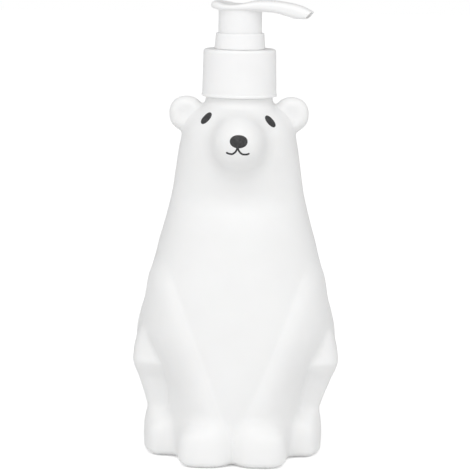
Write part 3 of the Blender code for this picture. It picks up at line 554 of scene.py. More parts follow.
def lathe(name: str, corners: Sequence[Triple], steps: int, longest: float, sides: int,
          relief: Optional[Relief] = None) -> Mesh:
    """Round the corners of an outline, add points to its long runs and turn it.

    Args:
        name: the mesh's name.
        corners: rows of radius, height and roundness.
        steps: points on each rounded corner.
        longest: the longest straight run in metres.
        sides: how many steps a turn has.
        relief: what is added to the radius, as in turned.

    Returns:
        The closed mesh.
    """
    return turned(name, refined(rounded(np.array(corners), steps), longest), sides, relief)


def tube(name: str, path: Array, radius: Array, sides: int, up: Triple = (0.0, 1.0, 0.0)) -> Mesh:
    """Carry a circle along a path: point = path + radius (cos a side + sin a over).

    Args:
        name: the mesh's name.
        path: the centre line, N by 3.
        radius: the tube's radius at each point, which tapers to near nothing at closed ends.
        sides: how many sides the tube has.
        up: a direction that the path never runs along.

    Returns:
        The closed mesh.
    """
    forward = unit(np.gradient(path, axis=0))
    side = unit(np.cross(np.array(up)[None, :], forward))
    over = np.cross(forward, side)
    angle = circle(sides)[None, :, None]
    spread = radius[:, None, None] * (np.cos(angle) * side[:, None, :] + np.sin(angle) * over[:, None, :])
    return closed_skin(name, path[:, None, :] + spread, path[[0, -1]])


def placed(name: str, data: bpy.types.ID) -> bpy.types.Object:
    """Put a mesh, lamp or camera into the scene.

    Args:
        name: the object's name.
        data: what it holds.

    Returns:
        The new object.
    """
    thing = bpy.data.objects.new(name, data)
    bpy.context.scene.collection.objects.link(thing)
    return thing


def show(mesh: Mesh, material: Material, body: Body,
         replaces: Sequence[str] = (), crease: float = 35.0) -> bpy.types.Object:
    """Put a finished mesh into the scene as a piece of the object.

    Args:
        mesh: the mesh, its place in its points.
        material: its finish.
        body: the body that it rides on.
        replaces: the CAD nodes that it stands for.
        crease: the angle in degrees past which an edge is sharp.

    Returns:
        The object.
    """
    piece = placed(mesh.name, mesh)
    mesh.materials.clear()
    mesh.materials.append(material)
    mesh.shade_smooth()
    mesh.set_sharp_from_angle(angle=math.radians(crease))
    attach(piece, body.value)
    if replaces:
        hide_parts(*replaces)
    LOG.info("%s rides on %s, %d faces", piece.name, body.value, len(mesh.polygons))
    return piece


@dataclass(frozen=True)
class Thread:
    """A screw thread that stands on a turned wall, outward where its rise is positive."""

    root: float
    rise: float
    low: float
    pitch: float
    turns: float
    half_width: float
    run_out: float = 0.08

    def relief(self, angle: Array, radius: Array, height: Array) -> Array:
        """Return the thread's rise at each place.

        At `total` turns from its start the thread's middle is at low + pitch x total. Across it
        the rise is a smooth hump, and it runs out at both ends.

        Args:
            angle: angles about the axis.
            radius: the plain wall's radius there.
            height: heights.

        Returns:
            What to add to the radius, zero off the wall that carries the thread.
        """
        wraps = np.arange(math.ceil(self.turns) + 1)[:, None, None]
        total = wraps + np.mod(angle, TURN)[None] / TURN
        across = np.abs(height[None] - self.low - self.pitch * total) / self.half_width
        hump = 1.0 - ease(0.3, 1.0, across)
        ends = ease(0.0, self.run_out, total) * (1.0 - ease(self.turns - self.run_out, self.turns, total))
        on_wall = np.abs(radius - self.root) < 0.05 * MM
        return self.rise * (hump * ends).max(axis=0) * on_wall


# The bear's form


@dataclass(frozen=True)
class Lobe:
    """A rounded form given by its centre, half sizes and roundness, and its fillet to the body."""

    centre: Triple
    half_size: Triple
    power: float
    fillet: float

    def distance(self, x: Array, y: Array, z: Array) -> Array:
        """Return the distance to the form, to first order."""
        offsets = (x - self.centre[0], y - self.centre[1], z - self.centre[2])
        return oval_distance(offsets, self.half_size, self.power)


def oval_distance(offsets: Sequence[Array], half_sizes: Sequence[Amount], power: Amount) -> Array:
    """Return the distance to an oval of any roundness, to first order.

    The level is (sum of |offset / half size| to the power) to the power's root. The distance is
    the level less one, divided by the level's slope, which is kept above a least value.

    Args:
        offsets: the place along each axis, from the centre.
        half_sizes: the half size along each axis.
        power: 2 for an ellipse, more for a fuller shape.

    Returns:
        The distance, negative inside.
    """
    parts = [np.abs(offset / half) for offset, half in zip(offsets, half_sizes)]
    level = np.maximum(sum(part ** power for part in parts), 1e-12) ** (1.0 / power)
    steeps = [(part / level) ** (power - 1.0) / half for part, half in zip(parts, half_sizes)]
    slope = np.sqrt(sum(steep ** 2 for steep in steeps))
    return (level - 1.0) / np.maximum(slope, 0.5 / np.maximum(half_sizes[0], half_sizes[1]))


# Shares of the bottle's height, half width, and half depth to the front and to the back
TORSO = (
    (0.000, 0.655, 0.780, 0.620), (0.080, 0.655, 0.830, 0.680), (0.134, 0.655, 0.870, 0.730),
    (0.190, 0.675, 0.888, 0.780), (0.260, 0.775, 0.886, 0.830), (0.315, 0.866, 0.877, 0.860),
    (0.365, 0.924, 0.862, 0.888), (0.392, 0.923, 0.852, 0.892), (0.435, 0.898, 0.836, 0.880),
    (0.478, 0.868, 0.812, 0.864), (0.522, 0.834, 0.783, 0.840), (0.565, 0.793, 0.752, 0.807),
    (0.608, 0.758, 0.722, 0.774), (0.652, 0.715, 0.690, 0.740), (0.695, 0.676, 0.634, 0.707),
    (0.717, 0.658, 0.596, 0.691), (0.738, 0.641, 0.572, 0.676), (0.757, 0.629, 0.566, 0.664),
    (0.780, 0.618, 0.572, 0.650), (0.823, 0.598, 0.590, 0.626), (0.866, 0.577, 0.608, 0.602),
    (0.909, 0.551, 0.600, 0.576), (0.950, 0.534, 0.575, 0.548), (1.000, 0.520, 0.540, 0.520),
)
LEGS = (
    (0.000, 0.820, 0.285, 0.905), (0.060, 0.830, 0.293, 0.945), (0.110, 0.825, 0.262, 0.970),
    (0.160, 0.870, 0.290, 0.990), (0.222, 0.944, 0.352, 1.000), (0.257, 0.990, 0.432, 0.998),
    (0.272, 0.999, 0.456, 0.992), (0.290, 0.995, 0.440, 0.970), (0.325, 0.972, 0.424, 0.917),
    (0.352, 0.947, 0.420, 0.855), (0.370, 0.925, 0.362, 0.800), (0.402, 0.876, 0.168, 0.700),
    (0.445, 0.808, 0.066, 0.550),
)


@dataclass(frozen=True)
class BearForm:
    """The bear as one field of distance, negative inside: torso, legs, arms, paws, feet, muzzle and ears."""

    height: float = 158.0 * MM
    half_width: float = 46.3 * MM
    half_depth: float = 42.0 * MM
    torso_power: float = 2.2
    leg_power: Pair = (5.0, 3.0)
    low_shift: float = 0.9 * MM
    shift_heights: Pair = (8.0 * MM, 45.0 * MM)
    middle_round: float = 0.7 * MM
    leg_crease: float = 1.6 * MM
    back_blend: float = 12.0 * MM
    blend_depths: Pair = (-6.0 * MM, 18.0 * MM)
    edge_radius: float = 3.2 * MM
    crown_radius: float = 14.0 * MM
    push_up: float = 2.4 * MM
    push_up_half: Pair = (22.0 * MM, 12.5 * MM)
    push_up_slope: float = 0.45
    arm_top: Pair = (32.4 * MM, 92.0 * MM)
    arm_low: Pair = (3.8 * MM, 20.0 * MM)
    arm_rise: float = 1.7 * MM
    arm_swell: float = 7.0 * MM
    arm_width: float = 21.0 * MM
    arm_fade: float = 14.0 * MM
    arm_side_fade: float = 9.0 * MM
    ring_radius: float = 14.95 * MM
    ring_fillet: float = 3.0 * MM
    ring_depth: float = 10.0 * MM
    in_front: float = -60.0 * MM
    muzzle: Lobe = Lobe((0.0, -23.5 * MM, 142.4 * MM), (12.0 * MM, 15.3 * MM, 12.2 * MM), 2.05, 5.5 * MM)
    ear: Lobe = Lobe((23.5 * MM, 1.0 * MM, 153.1 * MM), (7.6 * MM, 4.8 * MM, 7.7 * MM), 2.2, 2.4 * MM)
    dish: Lobe = Lobe((24.0 * MM, -4.3 * MM, 153.1 * MM), (5.3 * MM, 2.0 * MM, 5.2 * MM), 2.0, 1.2 * MM)
    paw: Lobe = Lobe((12.4 * MM, -29.2 * MM, 7.2 * MM), (11.9 * MM, 12.8 * MM, 11.4 * MM), 2.9, 6.0 * MM)
    foot: Lobe = Lobe((31.0 * MM, -1.0 * MM, 7.6 * MM), (8.2 * MM, 17.6 * MM, 12.1 * MM), 2.9, 5.5 * MM)

    def stack(self, shares: Sequence, power: Amount, x: Array, y: Array, z: Array) -> Array:
        """Measure a stack of oval sections.

        Args:
            shares: rows of height, half width, and half depth to the front and to the back.
            power: how full the sections are, 2 for an ellipse.
            x: places across the bear.
            y: places along its depth, rising to the back.
            z: heights.

        Returns:
            The distance to the stack, negative inside.
        """
        table = np.array(shares)
        levels = table[:, 0] * self.height
        half_width = follow(levels, table[:, 1] * self.half_width, z)
        depth = np.where(y < 0.0, follow(levels, table[:, 2] * self.half_depth, z),
                         follow(levels, table[:, 3] * self.half_depth, z))
        return oval_distance((x, y), (half_width, depth), power)

    def arms(self, x: Array, y: Array, z: Array) -> Array:
        """Work out how far the arms stand out of the chest.

        Their edge is a straight line from the shoulder to the paw. From it they swell out by
        1 - (1 - share of the swell's width) squared, then fall away over the rest of the arm's
        width, and they fade out at the shoulder and the side.

        Args:
            x: distances from the bear's middle.
            y: places along its depth, rising to the back.
            z: heights.

        Returns:
            The rise of the arms, zero off them.
        """
        run, rise = self.arm_top[0] - self.arm_low[0], self.arm_top[1] - self.arm_low[1]
        outward = (x - self.arm_low[0] - run * (z - self.arm_low[1]) / rise) * rise / math.hypot(run, rise)
        swell = 1.0 - (1.0 - np.clip(outward / self.arm_swell, 0.0, 1.0)) ** 2
        slope = 1.0 - ease(self.arm_swell, self.arm_width, outward)
        return (self.arm_rise * swell * slope * ease(0.0, self.arm_fade, self.arm_top[1] - z)
                * ease(0.0, self.arm_side_fade, -y))

    def skin(self, x: Array, y: Array, z: Array) -> Array:
        """Measure the skin above the floor.

        The low part is shifted to the left, and |x| is rounded at the middle: the root of the
        sum of the squares of x and the rounding.

        Args:
            x: places across the bear.
            y: places along its depth, rising to the back.
            z: heights.

        Returns:
            The distance, negative inside.
        """
        x = np.hypot(x + self.low_shift * (1.0 - ease(*self.shift_heights, z)), self.middle_round)
        torso = self.stack(TORSO, self.torso_power, x, y, z) - self.arms(x, y, z)
        legs = self.stack(LEGS, np.where(y < 0.0, *self.leg_power), x, y, z)
        legs = np.maximum(legs, z - LEGS[-1][0] * self.height)
        crease = self.leg_crease + (self.back_blend - self.leg_crease) * ease(*self.blend_depths, y)
        body = blend_union(torso, legs, crease)
        body = blend_union(body, self.foot.distance(x, y, z), self.foot.fillet)
        body = blend_union(body, self.paw.distance(x, y, z), self.paw.fillet)
        body = round_meeting(body, z - self.height, self.crown_radius)
        body = blend_union(body, self.muzzle.distance(x, y, z), self.muzzle.fillet)
        ear = -blend_union(-self.ear.distance(x, y, z), self.dish.distance(x, y, z), self.dish.fillet)
        body = blend_union(body, ear, self.ear.fillet)
        ring = np.maximum(np.hypot(x, y) - self.ring_radius, self.height - self.ring_depth - z)
        return blend_union(body, ring, self.ring_fillet)

    def distance(self, points: Array) -> Array:
        """Measure the whole outside, the floor and the push-up included.

        Args:
            points: places on any grid, ... by 3.

        Returns:
            The distance at each, negative inside.
        """
        x, y, z = points[..., 0], points[..., 1], points[..., 2]
        inward = 1.0 - np.hypot(x / self.push_up_half[0], y / self.push_up_half[1])
        floor = self.push_up * ease(0.0, self.push_up_slope, inward)
        return round_meeting(self.skin(x, y, z), floor - z, self.edge_radius)

    def march(self, start: Array, toward: Array, depth: float, steps: int, stride: float = 0.6) -> Array:
        """Follow rays to the skin.

        Each step moves back by the stride times the distance that is left.

        Args:
            start: where the rays start, ... by 3.
            toward: their unit directions.
            depth: how far below the skin they end.
            steps: how many steps they take.
            stride: above zero for rays that start inside, and below for rays from outside.

        Returns:
            The ends of the rays.
        """
        travel = np.zeros(start.shape[:-1])
        for _ in range(steps):
            travel = travel - stride * (self.distance(start + toward * travel[..., None]) + depth)
        return start + toward * travel[..., None]

    def normal(self, points: Array, reach: float = 0.05 * MM) -> Array:
        """Find which way the distance rises, which on the skin is outwards.

        Args:
            points: places on or near the skin, ... by 3.
            reach: the step of the differences in metres.

        Returns:
            The slope of the distance along each axis, ... by 3.
        """
        here = self.distance(points)
        slope = np.stack([self.distance(points + reach * step) - here for step in np.eye(3)], axis=-1)
        return slope / reach

    def onto(self, points: Array) -> Array:
        """Move points onto the skin by one step of Newton's method along the slope.

        Args:
            points: places near the skin, ... by 3.

        Returns:
            The moved points.
        """
        slope = self.normal(points)
        gap = self.distance(points) / np.maximum(np.sum(slope * slope, axis=-1), 0.25)
        return points - np.clip(gap, -MM, MM)[..., None] * slope

    def front(self, x: Array, z: Array) -> Array:
        """Find the skin that one sees from straight in front.

        Args:
            x: places across the bear.
            z: heights.

        Returns:
            The points of the skin, ... by 3.
        """
        start = np.stack([x, np.full_like(x, self.in_front), z], axis=-1)
        toward = np.broadcast_to(np.array([0.0, 1.0, 0.0]), start.shape)
        return self.march(start, toward, 0.0, steps=60, stride=-0.7)


# The bottle and its print


# How the grid of rays is laid out, at the spacing that is then made finer: degrees of tilt round
# the lower edge, shares of the height up the side, degrees of tilt over the head, degrees and
# shares of the reach over the crown, and shares of the pushed-up base
EDGE_FAN = (-90.0, -68.0, -45.0, -22.0)
SIDE_ROWS = (
    0.045, 0.075, 0.095, 0.105, 0.113, 0.12, 0.129, 0.145, 0.172, 0.205, 0.235, 0.256, 0.272,
    0.3, 0.335, 0.37, 0.41, 0.455, 0.505, 0.56, 0.615, 0.67, 0.715, 0.75, 0.78,
)
HEAD_FAN = (-6.0, -1.0, 3.5, 8.5, 14.0, 19.0, 24.0, 29.0, 34.0, 39.0, 44.0, 48.5, 52.5, 56.0)
CROWN_FAN = ((60.0, 0.35), (68.0, 0.65), (76.0, 0.86), (81.0, 0.95))
BASE_RINGS = (0.06, 0.3, 0.55, 0.78, 1.0)


@dataclass(frozen=True)
class BearBottle:
    """The blown bottle: hollow shell, threaded neck, the mould's parting line and the base's pinch."""

    form: BearForm = BearForm()
    wall: float = 1.3 * MM
    columns: int = 264
    crowding: Pair = (0.33, 0.17)
    finer_rows: int = 4
    relaxing: int = 36
    neck_radius: float = 12.55 * MM
    bore_radius: float = 11.25 * MM
    ring_start: float = 160.0 * MM
    ring_top: float = 161.12 * MM
    neck_top: float = 175.6 * MM
    thread: Thread = Thread(12.55 * MM, 0.85 * MM, 163.6 * MM, 4.2 * MM, 1.75, 1.15 * MM)
    parting_depth: float = 1.0 * MM
    parting_radius: float = 0.14 * MM
    parting_low: float = 3.5 * MM
    parting_fade: float = 12.0
    pinch_half: float = 17.0 * MM
    pinch_radius: float = 0.35 * MM
    pinch_end: float = 17.2 * MM
    pinch_fade: float = 5.0 * MM
    ray_floor: float = 6.0 * MM
    ray_centre: float = 130.0 * MM
    ray_spread: float = 0.7
    spread_reach: float = 42.0 * MM
    spread_heights: Pair = (22.0 * MM, 105.0 * MM)
    edge_inset: float = 4.5 * MM
    flat_inset: float = 6.6 * MM

    def turns(self) -> Array:
        """Return the columns' angles from the front, crowded where the limbs and ears are.

        An even angle a becomes a less the first crowding x sin a, plus the second x sin 2a.
        """
        even = circle(self.columns // COARSE)
        return even - self.crowding[0] * np.sin(even) + self.crowding[1] * np.sin(2.0 * even)

    def level_rays(self, turn: Array, spread: Array) -> tuple[Array, Array]:
        """Return where level rays start and which way they point, in plan.

        With no spread they start on the axis. With spread they start along a line across the
        body and run more nearly forwards and back, so that they meet the feet head on.

        Args:
            turn: the columns' angles.
            spread: the rows' spread, from 0 to 1.

        Returns:
            The starts and the unit directions, rows by columns by 2.
        """
        turn, spread = np.broadcast_arrays(turn[None, :], spread[:, None])
        start = np.stack([spread * self.spread_reach * np.sin(turn), np.zeros_like(turn)], axis=-1)
        return start, unit(np.stack([(1.0 - spread) * np.sin(turn), -np.cos(turn)], axis=-1))

    def fan(self, place: Array, height: Array, degrees: Array, toward: Array) -> tuple[Array, Array]:
        """Return rays from places in plan and a height, tilted up by the degrees.

        Args:
            place: starts in plan, rows by columns by 2.
            height: the rows' heights.
            degrees: the rows' tilts.
            toward: level unit directions, rows by columns by 2.

        Returns:
            The starts and directions, rows by columns by 3.
        """
        tilt = np.radians(degrees)[:, None, None]
        shape = np.broadcast_shapes(place.shape, toward.shape, height[:, None, None].shape)
        place, toward = np.broadcast_to(place, shape), np.broadcast_to(toward, shape)
        level = np.broadcast_to(height[:, None, None], shape[:-1] + (1,))
        start = np.concatenate([place, level], axis=-1)
        rise = np.broadcast_to(np.sin(tilt), level.shape)
        return start, np.concatenate([toward * np.cos(tilt), rise], axis=-1)

    def rays(self, turn: Array, times: int, depth: float) -> tuple[Array, Array]:
        """Return the whole grid of rays, from the middle of the base to the crown.

        Args:
            turn: the columns' angles.
            times: how many rows there are to one of the basic layout.
            depth: how far below the skin the rays will end.

        Returns:
            The starts and directions, rows by columns by 3.
        """
        parts = []
        start, toward = self.level_rays(turn, np.array([self.ray_spread]))
        level = self.fan(start, np.array([self.ray_floor]), np.zeros(1), toward)
        foot = self.form.march(*level, depth, steps=60)[..., :2]
        edge = foot - toward * (self.edge_inset - depth)
        flat = foot - toward * (self.flat_inset - depth)
        wide, deep = self.form.push_up_half
        oval = np.stack([wide * np.sin(turn), -deep * np.cos(turn)], axis=-1)[None]
        shares = finer(BASE_RINGS, times)[:, None, None]
        between = np.linspace(0.0, 1.0, 2 * times + 1)[1:, None, None]
        base = np.concatenate([oval * shares, oval * (1.0 - between) + flat * between])
        parts.append(self.fan(base, np.full(len(base), self.ray_floor), np.full(len(base), -90.0), toward))
        tilts = finer(EDGE_FAN + HEAD_FAN[:1], times)
        parts.append(self.fan(edge, np.full(len(tilts), self.ray_floor), tilts, toward))
        heights = finer(SIDE_ROWS, times) * self.form.height
        start, toward = self.level_rays(turn, self.ray_spread * (1.0 - ease(*self.spread_heights, heights)))
        parts.append(self.fan(start, heights, np.zeros(len(heights)), toward))
        start, toward = self.level_rays(turn, np.zeros(1))
        tilts = finer(HEAD_FAN, times)
        parts.append(self.fan(start, np.full(len(tilts), self.ray_centre), tilts, toward))
        tilts, shares = (finer(column, times) for column in zip(*CROWN_FAN))
        heights = self.ray_centre + (self.form.height - self.form.crown_radius - self.ray_centre) * shares
        reach = (self.form.ring_radius if depth == 0.0 else self.bore_radius) * shares
        parts.append(self.fan(toward * reach[:, None, None], heights, tilts, toward))
        starts, directions = zip(*parts)
        return np.concatenate(starts), np.concatenate(directions)

    def ring(self, turn: Array, radius: Array, height: Array) -> Array:
        """Lay out level rings of the neck.

        Args:
            turn: the columns' angles.
            radius: the rings' radii.
            height: the rings' heights.

        Returns:
            The rings, rows by columns by 3.
        """
        across = np.stack([np.sin(turn), -np.cos(turn)], axis=-1)
        plan = across[None] * radius[:, None, None]
        return np.concatenate([plan, np.broadcast_to(height[:, None, None], plan.shape[:-1] + (1,))], axis=-1)

    def evened(self, grid: Array, pole: Array) -> Array:
        """Even out the spacing of the grid over the skin.

        Each point moves half the way to the mean of its four neighbours, and after every third
        round all go back onto the skin. The last ring, at the neck, stays.

        Args:
            grid: rows by columns by 3.
            pole: the middle of the base, which closes the first ring.

        Returns:
            The evened grid.
        """
        first = np.broadcast_to(pole, grid[:1].shape)
        for step in range(self.relaxing // COARSE):
            below = np.concatenate([first, grid[:-2]])
            sides = np.roll(grid, 1, axis=1)[:-1] + np.roll(grid, -1, axis=1)[:-1]
            mean = (below + grid[1:] + sides) / 4.0
            moved = (grid[:-1] + mean) / 2.0
            if step % 3 == 2:
                moved = self.form.onto(moved)
            grid = np.concatenate([moved, grid[-1:]])
        return grid

    def neck(self, turn: Array) -> Array:
        """Lay out the neck: transfer ring, threaded wall, rounded rim and bore's top.

        Args:
            turn: the columns' angles.

        Returns:
            Its rings, rows by columns by 3.
        """
        corners = np.array([
            (self.form.ring_radius, self.ring_start, 0.0),
            (self.form.ring_radius, self.ring_top, 0.5 * MM),
            (self.neck_radius, self.ring_top, 0.35 * MM),
            (self.neck_radius, self.neck_top, 0.45 * MM),
            (self.bore_radius, self.neck_top, 0.4 * MM),
            (self.bore_radius, self.ring_top, 0.0),
        ])
        outline = refined(rounded(corners, 5), 0.3 * MM * COARSE, looped=False)[1:]
        rings = self.ring(turn, outline[:, 0], outline[:, 1])
        angle = np.broadcast_to(turn[None, :], rings.shape[:-1])
        radius = np.broadcast_to(outline[:, :1], rings.shape[:-1])
        rise = self.thread.relief(angle, radius, rings[..., 2])
        rings[..., :2] *= ((radius + rise) / radius)[..., None]
        return rings

    def shell(self) -> Mesh:
        """Build the hollow shell: skin, neck and inner wall as one closed mesh.

        Returns:
            The shell.
        """
        turn = self.turns()
        times = self.finer_rows // COARSE
        skin = self.form.march(*self.rays(turn, times, 0.0), 0.0, steps=36)
        top = self.ring(turn, np.array([self.form.ring_radius]), np.array([self.ring_start]))
        down = (np.array([0.0, 0.0, self.ray_floor]), np.array([0.0, 0.0, -1.0]))
        low = self.form.march(*down, 0.0, steps=40)
        high = self.form.march(*down, self.wall, steps=40)
        skin = self.evened(np.concatenate([skin, top]), low)
        inner = self.form.march(*self.rays(turn, 1, self.wall), self.wall, steps=60)
        rings = np.concatenate([skin, self.neck(turn), inner[::-1]])
        return closed_skin("bear_bottle", rings, np.stack([low, high]))

    def parting_line(self, side: Side) -> Mesh:
        """Build the fine ridge where the mould's halves met, up one side and over the ear.

        Args:
            side: the bear's side.

        Returns:
            The ridge.
        """
        turn = np.array([TURN / 4.0 * side.value])
        starts, directions = self.rays(turn, 8, 0.0)
        starts = starts + np.array([0.0, self.parting_depth, 0.0])
        path = self.form.march(starts, directions, 0.0, steps=80)[:, 0]
        path = path[path[:, 2] > self.parting_low]
        to_end = np.minimum(np.arange(len(path)), np.arange(len(path))[::-1])
        radius = self.parting_radius * np.sqrt(ease(-1.0, self.parting_fade, to_end))
        return tube("parting_line_" + side.name.lower(), path, radius, 8)

    def pinch(self) -> Mesh:
        """Build the welded pinch that closes the base, across its pushed-up middle.

        Returns:
            The pinch.
        """
        x = np.linspace(-self.pinch_half, self.pinch_half, 80)
        start = np.stack([x, np.zeros_like(x), np.full_like(x, self.ray_floor)], axis=-1)
        down = np.broadcast_to(np.array([0.0, 0.0, -1.0]), start.shape)
        path = self.form.march(start, down, 0.0, steps=40)
        radius = self.pinch_radius * np.sqrt(ease(0.0, self.pinch_fade, self.pinch_end - np.abs(x)))
        return tube("pinch_weld", path, radius, 10)

    def build(self, white: Material) -> None:
        """Make the bottle's pieces.

        Args:
            white: the bottle's plastic.
        """
        show(self.shell(), white, Body.BOTTLE, ("bottle",), crease=50.0)
        for side in Side:
            show(self.parting_line(side), white, Body.BOTTLE)
        show(self.pinch(), white, Body.BOTTLE)


@dataclass(frozen=True)
class FacePrint:
    """The printed face: two slanting oval eyes, an oval nose and a mouth of two arcs, as thin films.

    An eye or nose is placed by X, Z and its tilt in degrees. The mouth's knots are X and Z in
    millimetres.
    """

    form: BearForm = BearForm()
    lift: float = 0.05 * MM
    sink: float = 0.06 * MM
    left_eye: Triple = (-14.4 * MM, 152.45 * MM, 46.0)
    right_eye: Triple = (13.8 * MM, 151.55 * MM, 133.0)
    eye_half: Pair = (3.1 * MM, 1.3 * MM)
    nose_place: Triple = (0.0, 144.5 * MM, 0.0)
    nose_half: Pair = (3.85 * MM, 2.8 * MM)
    stroke: float = 0.4 * MM
    eye_power: float = 2.2
    nose_power: float = 2.1
    left_mouth: tuple[Pair, ...] = (
        (-0.50, 142.25), (-0.75, 141.15), (-1.65, 139.75), (-3.0, 139.0), (-4.3, 139.15), (-5.4, 139.65))
    right_mouth: tuple[Pair, ...] = (
        (-0.35, 142.25), (-0.05, 140.95), (0.75, 139.75), (2.1, 138.95), (3.4, 138.9), (4.8, 139.35))

    def layered(self, name: str, x: Array, z: Array, edge: Array, poles: Optional[Array]) -> Mesh:
        """Return a closed film from a grid in the plane of the face.

        The front of the film lies `lift` off the skin and thins towards its edge, and the back
        `sink` below the skin, both along the skin's normal.

        Args:
            name: the mesh's name.
            x: grid of X, rows by spots.
            z: grid of Z.
            edge: 0 at the film's middle and 1 at its edge, for each place of the grid.
            poles: rows of x and z for two ends, or None for a patch whose rows are rings.

        Returns:
            The film.
        """
        skin = self.form.front(x, z)
        out = unit(self.form.normal(skin))
        front = skin + out * (self.lift * np.sqrt(1.0 - 0.96 * edge ** 6))[..., None]
        back = skin - out * self.sink
        if poles is None:
            middle = self.form.front(x[:1].mean(axis=1), z[:1].mean(axis=1))[0]
            offset = out[0].mean(axis=0)
            ends = np.stack([middle + offset * self.lift, middle - offset * self.sink])
            return closed_skin(name, np.concatenate([front, back[::-1]]), ends)
        rings = np.concatenate([front, back[:, ::-1]], axis=1)
        return closed_skin(name, rings, self.form.front(poles[:, 0], poles[:, 1]))

    def oval(self, name: str, place: Triple, half: Pair, power: float) -> Mesh:
        """Build an oval patch.

        Args:
            name: the mesh's name.
            place: X, Z and the tilt of its long axis in degrees.
            half: half its length and half its width.
            power: 2 for an ellipse, more for a fuller shape.

        Returns:
            The patch's film.
        """
        share = np.linspace(0.08, 1.0, 14)[:, None]
        angle = circle(72)[None, :]
        along = half[0] * share * fuller(np.cos(angle), power)
        across = half[1] * share * fuller(np.sin(angle), power)
        tilt = math.radians(place[2])
        x = place[0] + along * math.cos(tilt) - across * math.sin(tilt)
        z = place[1] + along * math.sin(tilt) + across * math.cos(tilt)
        return self.layered(name, x, z, share + 0.0 * angle, None)

    def line(self, name: str, knots: Sequence[Pair]) -> Mesh:
        """Build a stroke of even width with round ends along a smooth curve.

        Args:
            name: the mesh's name.
            knots: X and Z in millimetres of places on the curve.

        Returns:
            The stroke's film.
        """
        table = np.array(knots) * MM
        run = np.concatenate(([0.0], np.cumsum(np.linalg.norm(np.diff(table, axis=0), axis=1))))
        bend = 0.5 - 0.5 * np.cos(math.pi * np.linspace(0.0, 1.0, 70))
        s = run[-1] * bend
        centre = np.stack([follow(run, table[:, 0], s), follow(run, table[:, 1], s)], axis=-1)
        forward = unit(np.gradient(centre, s + 1e-9 * np.arange(len(s)), axis=0))
        short = 1.0 - np.minimum(np.minimum(s, run[-1] - s) / self.stroke, 1.0)
        half = self.stroke * np.sqrt(np.clip(1.0 - short ** 2, 0.02, 1.0))
        across = np.linspace(-1.0, 1.0, 9)
        offset = half[:, None] * across[None, :]
        x = centre[:, :1] - forward[:, 1:] * offset
        z = centre[:, 1:] + forward[:, :1] * offset
        return self.layered(name, x, z, np.abs(across)[None, :] + 0.0 * x, centre[[0, -1]])

    def build(self, ink: Material) -> None:
        """Make the print's pieces, which ride on the bottle.

        Args:
            ink: the print's ink.
        """
        films = [
            self.oval("eye_print_left", self.left_eye, self.eye_half, self.eye_power),
            self.oval("eye_print_right", self.right_eye, self.eye_half, self.eye_power),
            self.oval("nose_print", self.nose_place, self.nose_half, self.nose_power),
            self.line("mouth_print_left", self.left_mouth),
            self.line("mouth_print_right", self.right_mouth),
        ]
        for film in films:
            show(film, ink, Body.BOTTLE, crease=60.0)


# The pump


@dataclass(frozen=True)
class PumpFit:
    """Heights that the pump's pieces share."""

    gap: float = 0.3 * MM
    neck_top: float = 175.6 * MM
    washer: float = 1.0 * MM
    flange: float = 1.3 * MM
    closure_top: float = 182.2 * MM
    collar_floor: float = 1.1 * MM
    plug_length: float = 7.6 * MM
    piston_length: float = 6.0 * MM
    stem_flange: float = 1.2 * MM
    stem_top: float = 195.7 * MM
    cup_depth: float = 6.0 * MM

    @property
    def flange_top(self) -> float:
        """Return the height of the housing's flange."""
        return self.neck_top + 2.0 * self.gap + self.washer + self.flange

    @property
    def floor_top(self) -> float:
        """Return the height of the floor inside the locking collar."""
        return self.flange_top + self.gap + self.collar_floor

    @property
    def piston_top(self) -> float:
        """Return the height of the piston's upper end."""
        return self.floor_top - self.collar_floor - self.plug_length - self.gap

    @property
    def stem_foot(self) -> float:
        """Return the height of the underside of the stem's flange."""
        return self.piston_top - self.piston_length - self.gap - self.stem_flange


@dataclass(frozen=True)
class Closure:
    """The screw closure, smooth outside, with its roof, pressing rib and thread, and the washer in it."""

    fit: PumpFit = PumpFit()
    bottom: float = 161.2 * MM
    low_radius: float = 16.6 * MM
    top_radius: float = 16.2 * MM
    bead: float = 0.25 * MM
    bead_height: float = 1.0 * MM
    shoulder: float = 1.2 * MM
    bore_radius: float = 14.3 * MM
    roof: float = 1.6 * MM
    hole_radius: float = 11.1 * MM
    rib_width: float = 1.5 * MM
    thread: Thread = Thread(14.3 * MM, -0.7 * MM, 163.4 * MM, 4.2 * MM, 1.9, 1.1 * MM)
    washer_radius: float = 13.6 * MM
    washer_bore: float = 9.5 * MM

    def build(self, white: Material, seal: Material) -> None:
        """Make the closure and the washer.

        Args:
            white: the closure's plastic.
            seal: the washer's plastic.
        """
        top, roof = self.fit.closure_top, self.fit.closure_top - self.roof
        rib_end = self.fit.flange_top + self.fit.gap
        rib = self.hole_radius + self.rib_width
        edge = self.low_radius + self.bead
        corners = [
            (self.bore_radius, self.bottom, 0.3 * MM),
            (edge, self.bottom, 0.25 * MM),
            (edge, self.bottom + self.bead_height, 0.3 * MM),
            (self.low_radius, self.bottom + self.bead_height + self.bead, 0.3 * MM),
            (self.top_radius, top, self.shoulder),
            (self.hole_radius, top, 0.3 * MM),
            (self.hole_radius, rib_end, 0.25 * MM),
            (rib, rib_end, 0.25 * MM),
            (rib, roof, 0.2 * MM),
            (self.bore_radius, roof, 0.4 * MM),
        ]
        mesh = lathe("screw_closure", corners, 8, 0.3 * MM * COARSE, 216 // COARSE, self.thread.relief)
        show(mesh, white, Body.CLOSURE, ("closure",))
        low = self.fit.neck_top + self.fit.gap
        high = low + self.fit.washer
        ring = [(self.washer_bore, low), (self.washer_radius, low),
                (self.washer_radius, high), (self.washer_bore, high)]
        mesh = lathe("sealing_washer", [(*corner, 0.15 * MM) for corner in ring], 4, 0.8 * MM, 128)
        show(mesh, seal, Body.PUMP_CORE, ("gasket",))


